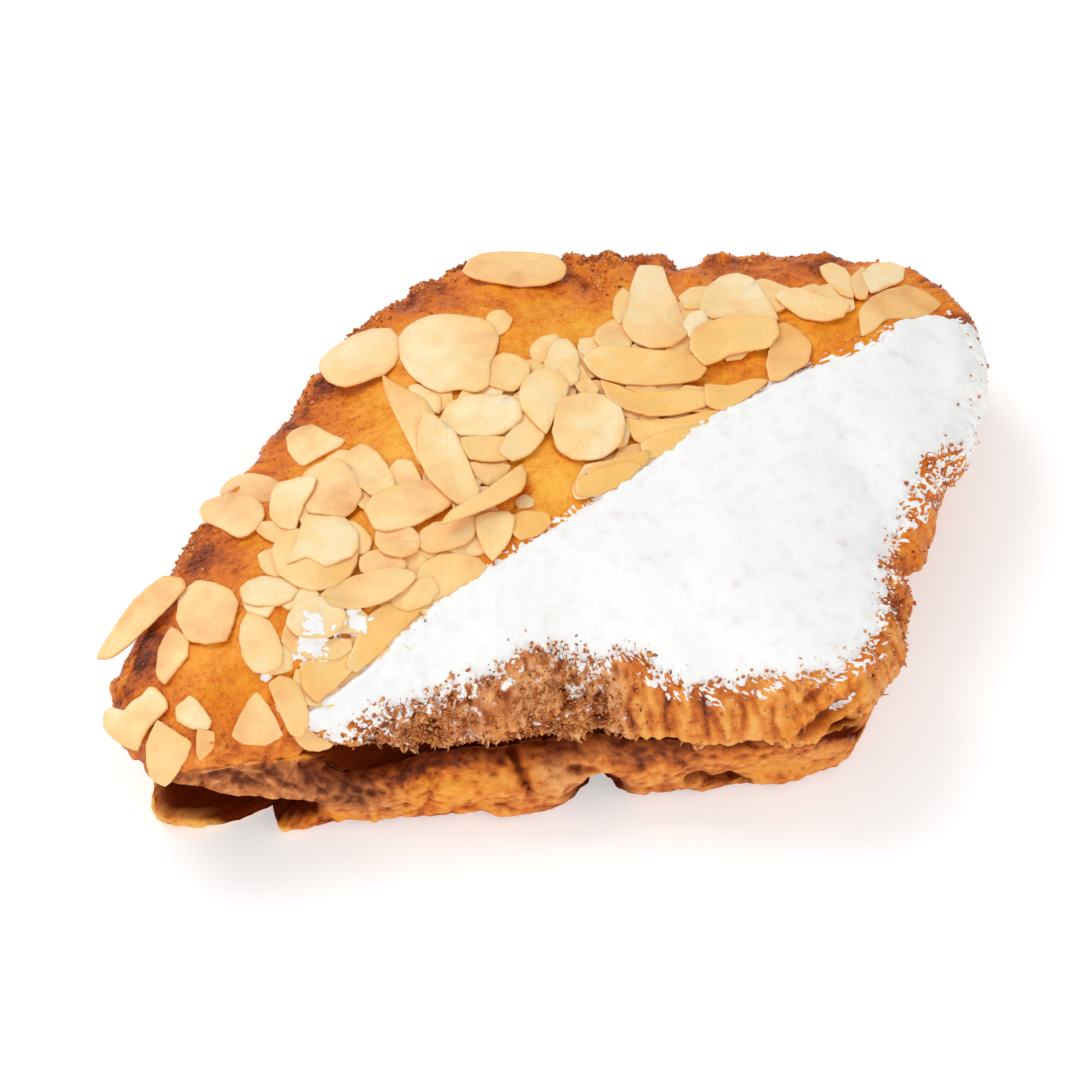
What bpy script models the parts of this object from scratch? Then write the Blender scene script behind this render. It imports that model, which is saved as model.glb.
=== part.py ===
# Almond croissant, pressed flat and split through the middle: a lower half, an upper half strewn
# with flaked almonds, and a skin of icing sugar over the right side of the top.
# Sizes are in millimetres until a mesh is made. +X runs along the length, +Z up, resting at z = 0.

import math

import bmesh
import bpy
import numpy as np
from mathutils import Matrix, Vector, noise

MM = 0.001
GAP = 0.3                    # clearance between touching pieces

SECTORS = 124                # points round the rim
HUB = (4.0, 2.0)             # plan point that every ring runs round
PLAN_SHIFT = (-3.0, -3.2)    # brings the middle of the bounding box to the origin

CROWN = 32.5                 # height of the level middle of the top
SHOULDER = 23.5              # height where the rim turns into the top
DOME_RUN = 38.0              # distance from the rim to the level middle
SPLIT = 15.0                 # height of the cut in the middle
SPLIT_DEPTH = 10.0           # how far in the two halves stand open

# Side of the lower half from its upper edge to the floor. Each row: share of that edge's height,
# how far in from the rim, share of the hollow's depth, how far it draws back, as a share, from
# where the lower half stands out to the upper half's rim, and share of the hollow's extra rise.
BASE_PROFILE = (
    (1.0, 1.0, 0.0, 0.85, 0.0), (0.88, 0.2, 0.0, 0.6, 0.2), (0.66, 0.0, 0.0, 0.1, 1.0),
    (0.6, 0.3, 0.9, 0.0, 1.0), (0.24, 0.6, 1.0, 0.0, 0.0), (0.17, 0.5, 0.1, 0.0, 0.0),
    (0.08, 1.1, 0.0, 0.0, 0.0), (0.0, 3.0, 0.0, 0.0, 0.0),
)

# The rim, anticlockwise from the front left tip. Each row: x, y, height of the upper half's lower
# edge, height of the lower half's upper edge, how far the lower half is set in (negative where it
# stands out), width of the rounded shoulder above, depth of the hollow in the lower half's side.
RIM = (
    (-72, -44, 18.0, 17.3, 6.0, 3.0, 4.0),
    (-66, -53, 18.5, 17.8, 0.5, 2.5, 9.0),
    (-56, -54, 19.0, 18.4, -1.5, 2.5, 10.0),
    (-47, -52.5, 19.0, 18.4, -2.0, 3.0, 7.0),
    (-39, -50, 18.5, 17.2, -4.0, 4.0, 4.0),
    (-34, -49, 18.5, 11.0, -3.8, 4.0, 1.0),
    (-27, -48.5, 18.2, 11.3, -3.6, 5.0, 0.0),
    (-20, -48, 17.8, 14.0, -3.6, 7.0, 0.0),
    (-10, -47, 17.5, 15.3, -4.6, 8.0, 0.0),
    (0, -45.5, 17.2, 15.4, -5.4, 9.0, 0.0),
    (12, -45, 17.0, 15.4, -4.3, 9.0, 0.0),
    (28, -47, 16.7, 15.3, 0.3, 7.0, 0.0),
    (44, -47, 16.7, 15.0, 2.6, 6.0, 1.0),
    (56, -41, 18.5, 14.0, 2.5, 5.0, 0.0),
    (62, -30, 17.5, 15.5, 3.5, 4.0, 0.0),
    (64, -20, 17.5, 16.6, 4.0, 4.0, 0.0),
    (69.5, 0, 16.5, 14.5, 4.0, 4.0, 0.0),
    (77.5, 17, 17.0, 16.2, 4.0, 4.0, 0.0),
    (82, 37, 18.0, 15.5, 4.0, 4.0, 0.0),
    (77.5, 51.5, 17.5, 16.8, 4.0, 4.5, 0.0),
    (66, 61, 17.0, 14.5, 4.0, 4.0, 3.0),
    (40, 63, 18.5, 17.6, 3.5, 3.5, 0.0),
    (10, 62, 18.0, 15.5, 3.5, 3.0, 0.0),
    (-14, 61, 17.5, 14.5, 3.5, 3.0, 2.0),
    (-30, 49, 17.5, 16.8, 3.5, 3.5, 0.0),
    (-41, 33, 18.5, 16.0, 3.5, 4.0, 0.0),
    (-51, 13, 17.0, 16.2, 4.0, 4.0, 2.0),
    (-61, -5, 16.5, 14.0, 4.0, 4.0, 0.0),
    (-69, -26, 17.5, 16.7, 4.0, 3.5, 0.0),
)

# Seams between the turns of the rolled dough: both ends on the rim, and depth at the rim.
SEAMS = (
    ((-50, -53), (-66, -16), 0.8),
    ((-20, -48), (-59, -1), 1.0),
    ((10, -44), (-45, 26), 1.3),
    ((36, -46), (-20, 57), 1.2),
    ((64, -12.5), (28, 62), 3.2),
    ((76, 8.5), (62, 62), 1.6),
)
SEAM_WIDTH = 3.0

# Clefts under the lower half's side, and feet that stand out beside them: place on the rim, depth
# (negative for a foot) and half width. They are made in full up to the first share of the edge's
# height and run out at the second.
CLEFTS = (
    ((-51, -54), 9.4, 3.0),
    ((-40, -50.5), -2.2, 4.5),
    ((-59, -54), -1.0, 6.0),
    ((10.0, -44), 9.0, 3.4),
    ((64, -12.5), 3.0, 4.0),
    ((28, 62), 3.0, 4.0),
    ((-45, 26), 2.5, 4.0),
)
CLEFT_SHARES = (0.25, 0.68)
HOLLOW_RISE = ((-63, -53), 0.22, 7.5)    # place where the hollow is higher, by what share, half width
LUMP_DEPTH = 0.9             # unevenness of the lower half's side
LUMP_SIZE = 7.0

# Edge of the icing sugar, anticlockwise from its front left point.
SUGAR_EDGE = (
    (-40, -48), (-31, -48), (-22, -45), (-14, -43), (-7, -41), (-2, -36), (5, -37), (11, -38),
    (17, -36), (20, -40), (30, -41), (44, -41), (52, -38), (57, -32), (60, -23), (61, -12),
    (65, -3), (71, 6), (77, 16), (81, 26), (80, 37), (75, 43), (66, 40), (60, 32), (54, 28),
    (45, 23), (36, 17), (28, 11), (20, 3), (10, -6), (0, -14), (-9, -21), (-19, -29), (-30, -40),
)
SUGAR_THICKNESS = 0.9

# Flaked almonds seen on the top, largest and lowest first. Each row: x, y, heading of the long
# axis in degrees, length, width, share kept where broken, layer, tilt about the long axis.
FLAKES = (
    (-58, -33, 62, 18.5, 10.5, 1.0, 0, 0),
    (-40, -19, 152, 15.0, 10.0, 1.0, 0, 0),
    (-37, -15, 0, 14.0, 10.5, 1.0, 1, 0),
    (-28, -25, 26, 15.5, 8.5, 1.0, 0, 0),
    (-22, -8, 20, 14.5, 10.0, 1.0, 0, 0),
    (-20, 11, -62, 22.5, 10.0, 1.0, 0, 0),
    (-17, 2, 105, 18.0, 10.0, 1.0, 1, 0),
    (-16, 24, -3, 14.5, 8.0, 1.0, 0, 0),
    (-15, 32, 13, 16.0, 12.0, 1.0, 1, 0),
    (-7, 7, 8, 12.5, 8.5, 1.0, 0, 0),
    (-9, 14, 7, 13.5, 9.0, 1.0, 1, 0),
    (-2, 10, 92, 12.0, 8.0, 1.0, 0, 0),
    (2, 24, 64, 16.5, 9.0, 1.0, 0, 0),
    (10, 10, 82, 16.5, 12.5, 1.0, 0, 0),
    (5, -2, -7, 11.0, 8.5, 1.0, 0, 0),
    (21, 40.5, 90, 20.0, 11.0, 1.0, 0, 0),
    (36, 41, 140, 16.0, 12.0, 1.0, 0, 0),
    (35, 31, -3, 15.5, 9.0, 1.0, 1, 0),
    (20, 25, -6, 17.0, 10.0, 1.0, 0, 0),
    (20, 16, -3, 15.5, 7.0, 1.0, 0, 0),
    (32, 21, 21, 13.5, 7.0, 1.0, 0, 0),
    (49.4, 40.3, 160, 13.5, 6.5, 1.0, 0, 0),
    (67, 46, 10, 12.0, 8.0, 1.0, 0, 0),
    (63, 51.5, 33, 9.5, 7.5, 1.0, 1, 0),
    (55, 48, -70, 10.5, 6.5, 1.0, 0, 0),
    (46, 31, -90, 9.0, 6.0, 1.0, 1, 0),
    (-5, 54, -6, 19.5, 9.0, 1.0, 0, 12),
    (-33, 32, 22, 16.0, 9.5, 1.0, 0, 12),
    (-68, -26, 50, 21.5, 9.0, 1.0, 1, -10),
    (-47, -35, 105, 11.5, 8.0, 1.0, 0, 0),
    (-46, -25, -2, 10.5, 7.0, 1.0, 0, 0),
    (-68, -47, 47, 13.0, 9.5, 0.9, 0, 0),
    (-57.5, -47.5, 164, 8.5, 7.5, 0.8, 0, 0),
    (-60.5, -52.5, 75, 11.5, 9.0, 0.8, 1, 0),
    (-47, -49, 89, 10.5, 9.0, 0.8, 0, 0),
    (-41, -45, 114, 12.0, 7.5, 1.0, 0, 0),
    (-37, -31, 16, 10.0, 9.5, 1.0, 0, 0),
    (-36, -40, 38, 11.0, 8.5, 1.0, 0, 0),
    (-28, -36, 45, 13.0, 7.0, 1.0, 0, 0),
    (-41, -5, 68, 11.0, 6.5, 1.0, 0, 0),
    (-53, -6, 178, 10.5, 9.0, 1.0, 0, 0),
    (-50, 0, 172, 8.5, 7.0, 1.0, 0, 0),
    (-39, 10, 7, 9.5, 8.0, 0.8, 0, 0),
    (-36, -1, 41, 11.0, 9.5, 1.0, 0, 0),
    (-30, 2, 139, 10.0, 8.0, 1.0, 0, 0),
    (-24, -16, 6, 8.0, 6.5, 1.0, 0, 0),
    (-15, -14, 19, 9.0, 6.5, 1.0, 0, 0),
    (-15, -21, 30, 10.5, 7.5, 1.0, 0, 0),
    (-24, -29, 18, 11.5, 6.5, 1.0, 1, 0),
    (-9, -13, 87, 11.0, 6.5, 0.9, 0, 0),
    (-9, -5, 40, 15.5, 6.5, 1.0, 1, 38),
    (-5, 24, 4, 7.0, 8.0, 0.9, 0, 0),
    (-7, 38, 0, 6.0, 6.0, 0.7, 0, 0),
    (7, 20, -5, 7.5, 7.0, 1.0, 0, 0),
    (20, 9, 23, 10.0, 6.5, 1.0, 0, 0),
    (28, 35, 10, 6.0, 5.5, 0.8, 0, 0),
)
FLAKE_SIDES = 10
FLAKE_THICKNESS = 1.2
FLAKE_SINK = 0.45            # how deep a flake's middle sits in the crust
STEEPEST = 0.35              # slope of a stiff flake that bridges the rim
LAYER_RISE = 0.8             # how much higher a flake lying on another one sits
SUGAR_CLEARANCE = 0.8        # between a flake and the icing sugar

CRUST = ("baked_crust", (0.72, 0.34, 0.09), 0.42)
CRUMB = ("baked_underside", (0.62, 0.27, 0.08), 0.55)
SUGAR = ("icing_sugar", (0.95, 0.95, 0.94), 0.95)


def closed_curve(rows, steps):
    """Rows of a smooth closed curve through the given rows."""
    points = np.array(rows, dtype=float)
    count = len(points)
    curve = []
    for i in range(count):
        before, start, end, after = (points[(i + k) % count] for k in (-1, 0, 1, 2))
        for t in np.arange(steps) / steps:
            curve.append(0.5 * (2 * start + (end - before) * t
                                + (2 * before - 5 * start + 4 * end - after) * t * t
                                + (3 * start - before - 3 * end + after) * t ** 3))
    return np.array(curve)


def direction_of(x, y):
    """Angle of a plan point seen from the hub."""
    return math.atan2(y - HUB[1], x - HUB[0])


def distance_along(angle, place, radius):
    """Distance along the rim from a place to the direction of angle."""
    turn = (angle - direction_of(*place) + math.pi) % (2 * math.pi) - math.pi
    return abs(turn) * radius


def rim_table():
    """Rim sizes at close angles: radius of both halves, edge heights, shoulder, slant and clefts."""
    curve = closed_curve(RIM, 24)
    angles = np.unwrap(np.arctan2(curve[:, 1] - HUB[1], curve[:, 0] - HUB[0]))
    radii = np.hypot(curve[:, 0] - HUB[0], curve[:, 1] - HUB[1])
    slant = radii / np.hypot(radii, np.gradient(radii, angles))
    upper, lower = radii.copy(), radii - curve[:, 4] / slant
    cleft, rise = np.zeros(len(radii)), np.zeros(len(radii))
    for i, (angle, radius) in enumerate(zip(angles, radii)):
        ragged = Vector((math.cos(angle), math.sin(angle), 0.0)) * radius / 7.0
        upper[i] += 0.9 * noise.noise(ragged)
        lower[i] += 1.2 * noise.noise(ragged * 0.6 + Vector((0.0, 0.0, 5.0)))
        for front, back, depth in SEAMS:
            for place in (front, back):
                upper[i] -= depth * math.exp(-(distance_along(angle, place, radius) / SEAM_WIDTH) ** 2)
        for place, depth, half_width in CLEFTS:
            cleft[i] += depth * math.exp(-distance_along(angle, place, radius) / half_width)
        place, share, half_width = HOLLOW_RISE
        rise[i] = share * math.exp(-(distance_along(angle, place, radius) / half_width) ** 4)
    return {"angle": angles, "upper": upper, "lower": lower, "cleft": cleft, "rise": rise, "slant": slant,
            "under": curve[:, 2], "over": curve[:, 3], "shoulder": curve[:, 5],
            "hollow": np.maximum(curve[:, 6], 0.0)}


TABLE = rim_table()


def rim_at(angle):
    """Sizes of the rim in one direction."""
    return {name: float(np.interp(angle, TABLE["angle"], column, period=2 * math.pi))
            for name, column in TABLE.items() if name != "angle"}


def sector_angles():
    """Directions that are evenly spaced along the rim."""
    x, y = TABLE["upper"] * np.cos(TABLE["angle"]), TABLE["upper"] * np.sin(TABLE["angle"])
    length = np.concatenate(([0.0], np.cumsum(np.hypot(np.diff(x), np.diff(y)))))
    return np.interp(np.arange(SECTORS) / SECTORS * length[-1], length, TABLE["angle"])


def seam_groove(x, y, inset):
    """Depth of the seams between turns at a plan point, shallower towards the middle."""
    depth = 0.0
    point = Vector((x, y))
    for front, back, rim_depth in SEAMS:
        start, end = Vector(front), Vector(back)
        along = (end - start).normalized()
        across = (point - start).cross(along)
        depth += 0.6 * rim_depth * math.exp(-(across / SEAM_WIDTH) ** 2)
    return depth * (0.25 + 0.75 * math.exp(-inset / 9.0))


def crust_height(x, y, inset, rim):
    """Height of the upper half's crust at a plan point, that far in from the rim."""
    turn = math.sqrt(1.0 - (1.0 - min(inset / rim["shoulder"], 1.0)) ** 2)
    level = 1.0 - (1.0 - min(inset / DOME_RUN, 1.0)) ** 2
    height = rim["under"] + (SHOULDER - rim["under"]) * turn + (CROWN - SHOULDER) * level
    uneven = 0.9 * noise.noise(Vector((x, y, 0.0)) / 13.0) + 0.5 * noise.noise(Vector((x, y, 9.0)) / 5.0)
    return height + turn * (uneven - seam_groove(x, y, inset))


def crust_at(x, y):
    """Height of the crust at any plan point."""
    rim = rim_at(direction_of(x, y))
    inset = (rim["upper"] - math.hypot(x - HUB[0], y - HUB[1])) * rim["slant"]
    return crust_height(x, y, max(inset, 0.0), rim)


def opening(inset, rim):
    """Middle height of the split and half its opening, that far in from the rim."""
    near = min(max(inset, 0.0) / SPLIT_DEPTH, 1.0)
    near = near * near * (3.0 - 2.0 * near)
    inner = min(max(inset, 0.0) / DOME_RUN, 1.0)
    inner = inner * inner * (3.0 - 2.0 * inner)
    middle = (rim["under"] + rim["over"]) / 2.0
    half = (rim["under"] - rim["over"]) / 2.0
    return middle + (SPLIT - middle) * inner, GAP / 2.0 + (half - GAP / 2.0) * (1.0 - near)


def plan_point(angle, inset, rim):
    """Plan point that far in from the upper half's rim."""
    reach = rim["upper"] - inset / rim["slant"]
    return HUB[0] + reach * math.cos(angle), HUB[1] + reach * math.sin(angle)


def top_rings(angles):
    """Rings of the crust from near the middle out to the rim."""
    rings = []
    for share, step in ((0.2, 4), (0.36, 4), (0.5, 2), (0.62, 2), (0.74, 1), (0.84, 1), (0.93, 1), (1.0, 1)):
        ring = []
        for angle in angles[::step]:
            rim = rim_at(angle)
            middle = rim["upper"] * rim["slant"]
            inset = middle - (middle - rim["shoulder"]) * share
            x, y = plan_point(angle, inset, rim)
            ring.append((x, y, crust_height(x, y, inset, rim)))
        rings.append(ring)
    for share in (0.55, 0.25, 0.07, 0.0):
        ring = []
        for angle in angles:
            rim = rim_at(angle)
            inset = rim["shoulder"] * share
            x, y = plan_point(angle, inset, rim)
            ring.append((x, y, crust_height(x, y, inset, rim)))
        rings.append(ring)
    return rings


def split_rings(angles, side):
    """Rings of one cut face from the rim to the middle, side +1 above the cut and -1 below."""
    rings = []
    for inset_share in (0.35, 0.7, 1.0):
        rings.append([])
        for angle in angles:
            rim = rim_at(angle)
            tuck = (rim["upper"] - side_radius(rim, BASE_PROFILE[0][3])) * rim["slant"] if side < 0 else 0.0
            inset = tuck + (SPLIT_DEPTH - tuck) * inset_share
            rings[-1].append(split_point(angle, inset, rim, side))
    for share, step in ((0.7, 2), (0.4, 4)):
        rings.append([])
        for angle in angles[::step]:
            rim = rim_at(angle)
            middle = rim["upper"] * rim["slant"]
            inset = middle - (middle - SPLIT_DEPTH) * share
            rings[-1].append(split_point(angle, inset, rim, side))
    return rings


def split_point(angle, inset, rim, side):
    """A point of a cut face."""
    x, y = plan_point(angle, inset, rim)
    middle, half = opening(inset, rim)
    return x, y, middle + side * half


def side_radius(rim, drawn_back):
    """Radius of the lower half's side, drawn back towards the upper half's rim where it stands out."""
    return rim["lower"] - max(rim["lower"] - rim["upper"], 0.0) * drawn_back


def base_rings(angles):
    """Rings down the lower half's side, from its upper edge to the floor."""
    full, gone = CLEFT_SHARES
    rings = []
    for height_share, inset, hollow_share, drawn_back, rise_share in BASE_PROFILE:
        fade = max(0.0, min(1.0, (gone - height_share) / (gone - full)))
        rings.append([])
        for angle in angles:
            rim = rim_at(angle)
            height = rim["over"] * (height_share + rise_share * rim["rise"])
            across, ahead = math.cos(angle), math.sin(angle)
            reach = side_radius(rim, drawn_back)
            place = Vector((across * reach, ahead * reach, height)) / LUMP_SIZE
            reach += LUMP_DEPTH * noise.noise(place) * min(height_share / 0.08, 1.0)
            reach -= (inset + hollow_share * rim["hollow"]) / rim["slant"] + fade * rim["cleft"]
            rings[-1].append((HUB[0] + reach * across, HUB[1] + reach * ahead, height))
    return rings


def stitch(inner, outer):
    """Triangles between two rings, of which the outer one may have twice the points."""
    ratio = len(outer) // len(inner)
    faces = []
    for i, near in enumerate(inner):
        after = inner[(i + 1) % len(inner)]
        rim = [outer[(i * ratio + k) % len(outer)] for k in range(ratio + 1)]
        faces += [(near, rim[0], rim[1]), (near, rim[1], after)]
        if ratio == 2:
            faces.append((after, rim[1], rim[2]))
    return faces


def mesh_from_rings(name, rings, first=None, last=None):
    """A closed mesh from rings, each end closed by a point or by one flat face."""
    points, faces, loops = [], [], []
    for ring in rings:
        reach = sum(math.dist(point[:2], HUB) for point in ring) / len(ring)
        loops.append((len(ring), reach, [len(points) + i for i in range(len(ring))]))
        points += ring
    for pair in zip(loops, loops[1:]):
        (_, _, inner), (_, _, outer) = sorted(pair)
        faces += stitch(inner, outer)
    for point, (size, _, ring) in ((first, loops[0]), (last, loops[-1])):
        if point is None:
            faces.append(ring)
            continue
        points.append(point)
        faces += [(len(points) - 1, ring[i], ring[(i + 1) % size]) for i in range(size)]
    mesh = bpy.data.meshes.new(name)
    shift = Vector((*PLAN_SHIFT, 0.0))
    mesh.from_pydata([(Vector(point) + shift) * MM for point in points], [], faces)
    bm = bmesh.new()
    bm.from_mesh(mesh)
    bmesh.ops.recalc_face_normals(bm, faces=bm.faces)
    bm.to_mesh(mesh)
    bm.free()
    return mesh


def add_object(name, mesh, look):
    """Link a mesh as an object with its own material."""
    material_name, colour, roughness = look
    material = bpy.data.materials.new(material_name)
    material.use_nodes = True
    shader = material.node_tree.nodes["Principled BSDF"]
    shader.inputs["Base Color"].default_value = (*colour, 1.0)
    shader.inputs["Roughness"].default_value = roughness
    shader.inputs["Metallic"].default_value = 0.0
    mesh.materials.clear()
    mesh.materials.append(material)
    mesh.shade_smooth()
    mesh.set_sharp_from_angle(angle=math.radians(40))
    obj = bpy.data.objects.new(name, mesh)
    bpy.context.scene.collection.objects.link(obj)
    return obj


def flake_outline(length, width, kept):
    """Outline of a sliced almond, pointed at one end and cut off short where it is broken."""
    outline = []
    for i in range(FLAKE_SIDES):
        turn = 2 * math.pi * (i + 0.5) / FLAKE_SIDES
        x = length / 2 * math.cos(turn)
        y = width / 2 * math.sin(turn) * (1.0 - 0.28 * math.cos(turn))
        outline.append((max(x, length * (0.5 - kept)), y))
    return outline


def flake_frame(row):
    """Placement of a flake lying on the crust."""
    x, y, heading, length, width, kept, layer, tilt = row
    along = Vector((math.cos(math.radians(heading)), math.sin(math.radians(heading))))
    across = Vector((-along.y, along.x))
    ends = [crust_at(x + along.x * s, y + along.y * s) for s in (-length * 0.4, length * 0.4)]
    sides = [crust_at(x + across.x * s, y + across.y * s) for s in (-width * 0.4, width * 0.4)]
    rise = max(-STEEPEST, min(STEEPEST, (ends[1] - ends[0]) / (length * 0.8)))
    lean = max(-STEEPEST, min(STEEPEST, (sides[1] - sides[0]) / (width * 0.8)))
    lean += math.tan(math.radians(tilt))
    height = (2 * crust_at(x, y) + sum(ends) + sum(sides)) / 6.0 - FLAKE_SINK + layer * LAYER_RISE
    forward = Vector((along.x, along.y, rise)).normalized()
    sideways = Vector((across.x, across.y, lean)).normalized()
    upward = forward.cross(sideways).normalized()
    turned = Matrix((forward, upward.cross(forward), upward)).transposed().to_4x4()
    return Matrix.Translation(Vector((x, y, height))) @ turned


def inside(point, outline):
    """Whether a plan point lies inside a closed outline."""
    hit = False
    for (ax, ay), (bx, by) in zip(outline, outline[1:] + outline[:1]):
        if (ay > point[1]) != (by > point[1]):
            hit ^= point[0] < ax + (point[1] - ay) / (by - ay) * (bx - ax)
    return hit


def sugar_outline(grow=0.0):
    """The icing sugar's uneven edge in plan, grown outwards by a clearance."""
    curve = closed_curve(SUGAR_EDGE, 2)
    outline = []
    for i, (x, y) in enumerate(curve):
        ahead, behind = curve[(i + 1) % len(curve)], curve[i - 1]
        normal = Vector((ahead[1] - behind[1], behind[0] - ahead[0])).normalized()
        push = grow + 0.7 * noise.noise(Vector((x, y, 3.0)) / 4.0)
        outline.append((x + normal.x * push, y + normal.y * push))
    return outline


def clear_of_sugar(row, edge):
    """Move a flake away from the icing sugar, or drop it if it can't be cleared."""
    x, y, heading, length, width, kept, layer, tilt = row
    turn = Matrix.Rotation(math.radians(heading), 2)
    outline = [turn @ Vector(point) for point in flake_outline(length, width, kept)]
    for step in range(14):
        moved = (x - 0.4 * step, y + 0.5 * step)
        if not any(inside((p.x + moved[0], p.y + moved[1]), edge) for p in outline):
            return (*moved, heading, length, width, kept, layer, tilt)
    return None


def make_flake(row, index):
    """One flaked almond as a closed slab."""
    outline = flake_outline(*row[3:6])
    frame = flake_frame(row)
    bm = bmesh.new()
    faces = []
    for height in (0.0, FLAKE_THICKNESS):
        verts = [bm.verts.new(frame @ Vector((x, y, height))) for x, y in outline]
        bm.faces.new(verts if height else verts[::-1])
        faces.append(verts)
    for i in range(FLAKE_SIDES):
        k = (i + 1) % FLAKE_SIDES
        bm.faces.new((faces[0][i], faces[0][k], faces[1][k], faces[1][i]))
    bmesh.ops.remove_doubles(bm, verts=bm.verts, dist=0.05)
    bmesh.ops.triangulate(bm, faces=bm.faces)
    bmesh.ops.recalc_face_normals(bm, faces=bm.faces)
    for vert in bm.verts:
        vert.co = (vert.co + Vector((*PLAN_SHIFT, 0.0))) * MM
    mesh = bpy.data.meshes.new("flake_%02d" % index)
    bm.to_mesh(mesh)
    bm.free()
    return bpy.data.objects.new(mesh.name, mesh)


def apply_modifiers(obj):
    """Replace an object's mesh by its evaluated one."""
    graph = bpy.context.evaluated_depsgraph_get()
    mesh = bpy.data.meshes.new_from_object(obj.evaluated_get(graph))
    obj.modifiers.clear()
    obj.data = mesh


def keep_largest_body(mesh):
    """Drop loose scraps and fill sealed hollows, keeping only the outer skin."""
    bm = bmesh.new()
    bm.from_mesh(mesh)
    waiting, bodies = set(bm.verts), []
    while waiting:
        stack = [waiting.pop()]
        body = set(stack)
        while stack:
            for edge in stack.pop().link_edges:
                for vert in edge.verts:
                    if vert in waiting:
                        waiting.discard(vert)
                        body.add(vert)
                        stack.append(vert)
        bodies.append(body)
    largest = max(bodies, key=len)
    bmesh.ops.delete(bm, geom=[v for v in bm.verts if v not in largest], context="VERTS")
    bm.to_mesh(mesh)
    bm.free()


def make_top(angles):
    """Upper half with its almond flakes fused on."""
    middle, half = opening(DOME_RUN, rim_at(0.0))
    rings = top_rings(angles) + split_rings(angles, 1)
    crown = (*HUB, crust_height(*HUB, DOME_RUN, rim_at(0.0)))
    mesh = mesh_from_rings("croissant_top", rings, crown, (*HUB, middle + half))
    top = add_object("croissant_top", mesh, CRUST)
    toppings = bpy.data.collections.new("almond_flakes")
    bpy.context.scene.collection.children.link(toppings)
    edge = sugar_outline(SUGAR_CLEARANCE)
    rows = [clear_of_sugar(row, edge) for row in FLAKES]
    for index, row in enumerate(row for row in rows if row):
        toppings.objects.link(make_flake(row, index))
    union = top.modifiers.new("fuse_flakes", "BOOLEAN")
    union.operation = "UNION"
    union.operand_type = "COLLECTION"
    union.collection = toppings
    union.solver = "EXACT"
    apply_modifiers(top)
    for obj in list(toppings.objects):
        bpy.data.objects.remove(obj)
    bpy.data.collections.remove(toppings)
    keep_largest_body(top.data)
    return top


def make_base(angles):
    """Lower half, resting on a flat underside."""
    middle, half = opening(DOME_RUN, rim_at(0.0))
    rings = split_rings(angles, -1)[::-1] + base_rings(angles)
    mesh = mesh_from_rings("croissant_base", rings, (*HUB, middle - half), None)
    return add_object("croissant_base", mesh, CRUMB)


def make_sugar(angles):
    """Skin of icing sugar that follows the crust at a small clearance."""
    skin = top_rings(angles)[:-2]
    lower = [[(x, y, z + GAP * 1.25) for x, y, z in ring] for ring in skin]
    upper = [[(x, y, z + GAP * 1.25 + SUGAR_THICKNESS) for x, y, z in ring] for ring in skin]
    crown = crust_height(*HUB, DOME_RUN, rim_at(0.0)) + GAP * 1.25
    rings = upper + lower[::-1]
    mesh = mesh_from_rings("icing_sugar", rings, (*HUB, crown + SUGAR_THICKNESS), (*HUB, crown))
    sugar = add_object("icing_sugar", mesh, SUGAR)
    outline = sugar_outline()
    stencil_rings = [[(x, y, z) for x, y in outline] for z in (0.0, CROWN + 10.0)]
    stencil = bpy.data.objects.new("stencil", mesh_from_rings("stencil", stencil_rings))
    bpy.context.scene.collection.objects.link(stencil)
    cut = sugar.modifiers.new("stencil", "BOOLEAN")
    cut.operation = "INTERSECT"
    cut.object = stencil
    cut.solver = "EXACT"
    apply_modifiers(sugar)
    bpy.data.objects.remove(stencil)
    keep_largest_body(sugar.data)
    return sugar


def build():
    """Make the whole croissant."""
    for obj in list(bpy.data.objects):
        bpy.data.objects.remove(obj)
    angles = sector_angles()
    make_base(angles)
    make_top(angles)
    make_sugar(angles)


build()
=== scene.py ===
import math
import random
from functools import partial
from itertools import combinations

import bpy
import numpy as np
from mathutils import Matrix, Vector, noise


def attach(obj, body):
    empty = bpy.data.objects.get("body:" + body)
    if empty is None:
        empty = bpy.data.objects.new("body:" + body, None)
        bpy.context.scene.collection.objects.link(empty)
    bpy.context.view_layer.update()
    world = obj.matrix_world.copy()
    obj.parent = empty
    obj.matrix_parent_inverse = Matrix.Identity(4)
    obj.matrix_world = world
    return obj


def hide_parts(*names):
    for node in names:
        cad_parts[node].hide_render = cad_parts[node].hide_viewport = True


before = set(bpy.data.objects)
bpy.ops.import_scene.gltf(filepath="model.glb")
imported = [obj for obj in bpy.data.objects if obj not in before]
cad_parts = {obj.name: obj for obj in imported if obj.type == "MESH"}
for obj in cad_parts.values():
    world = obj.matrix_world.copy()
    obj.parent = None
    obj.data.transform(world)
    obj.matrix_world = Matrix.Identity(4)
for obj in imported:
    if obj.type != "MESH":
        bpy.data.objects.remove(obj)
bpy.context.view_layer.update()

# Almond croissant: two baked halves, flaked almonds, icing sugar, flaky shards and crumbs.
# The form is worked out in millimetres, as in the solids, and each mesh is written in metres.

millimetre = 0.001
fullTurn = 2 * math.pi

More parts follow.
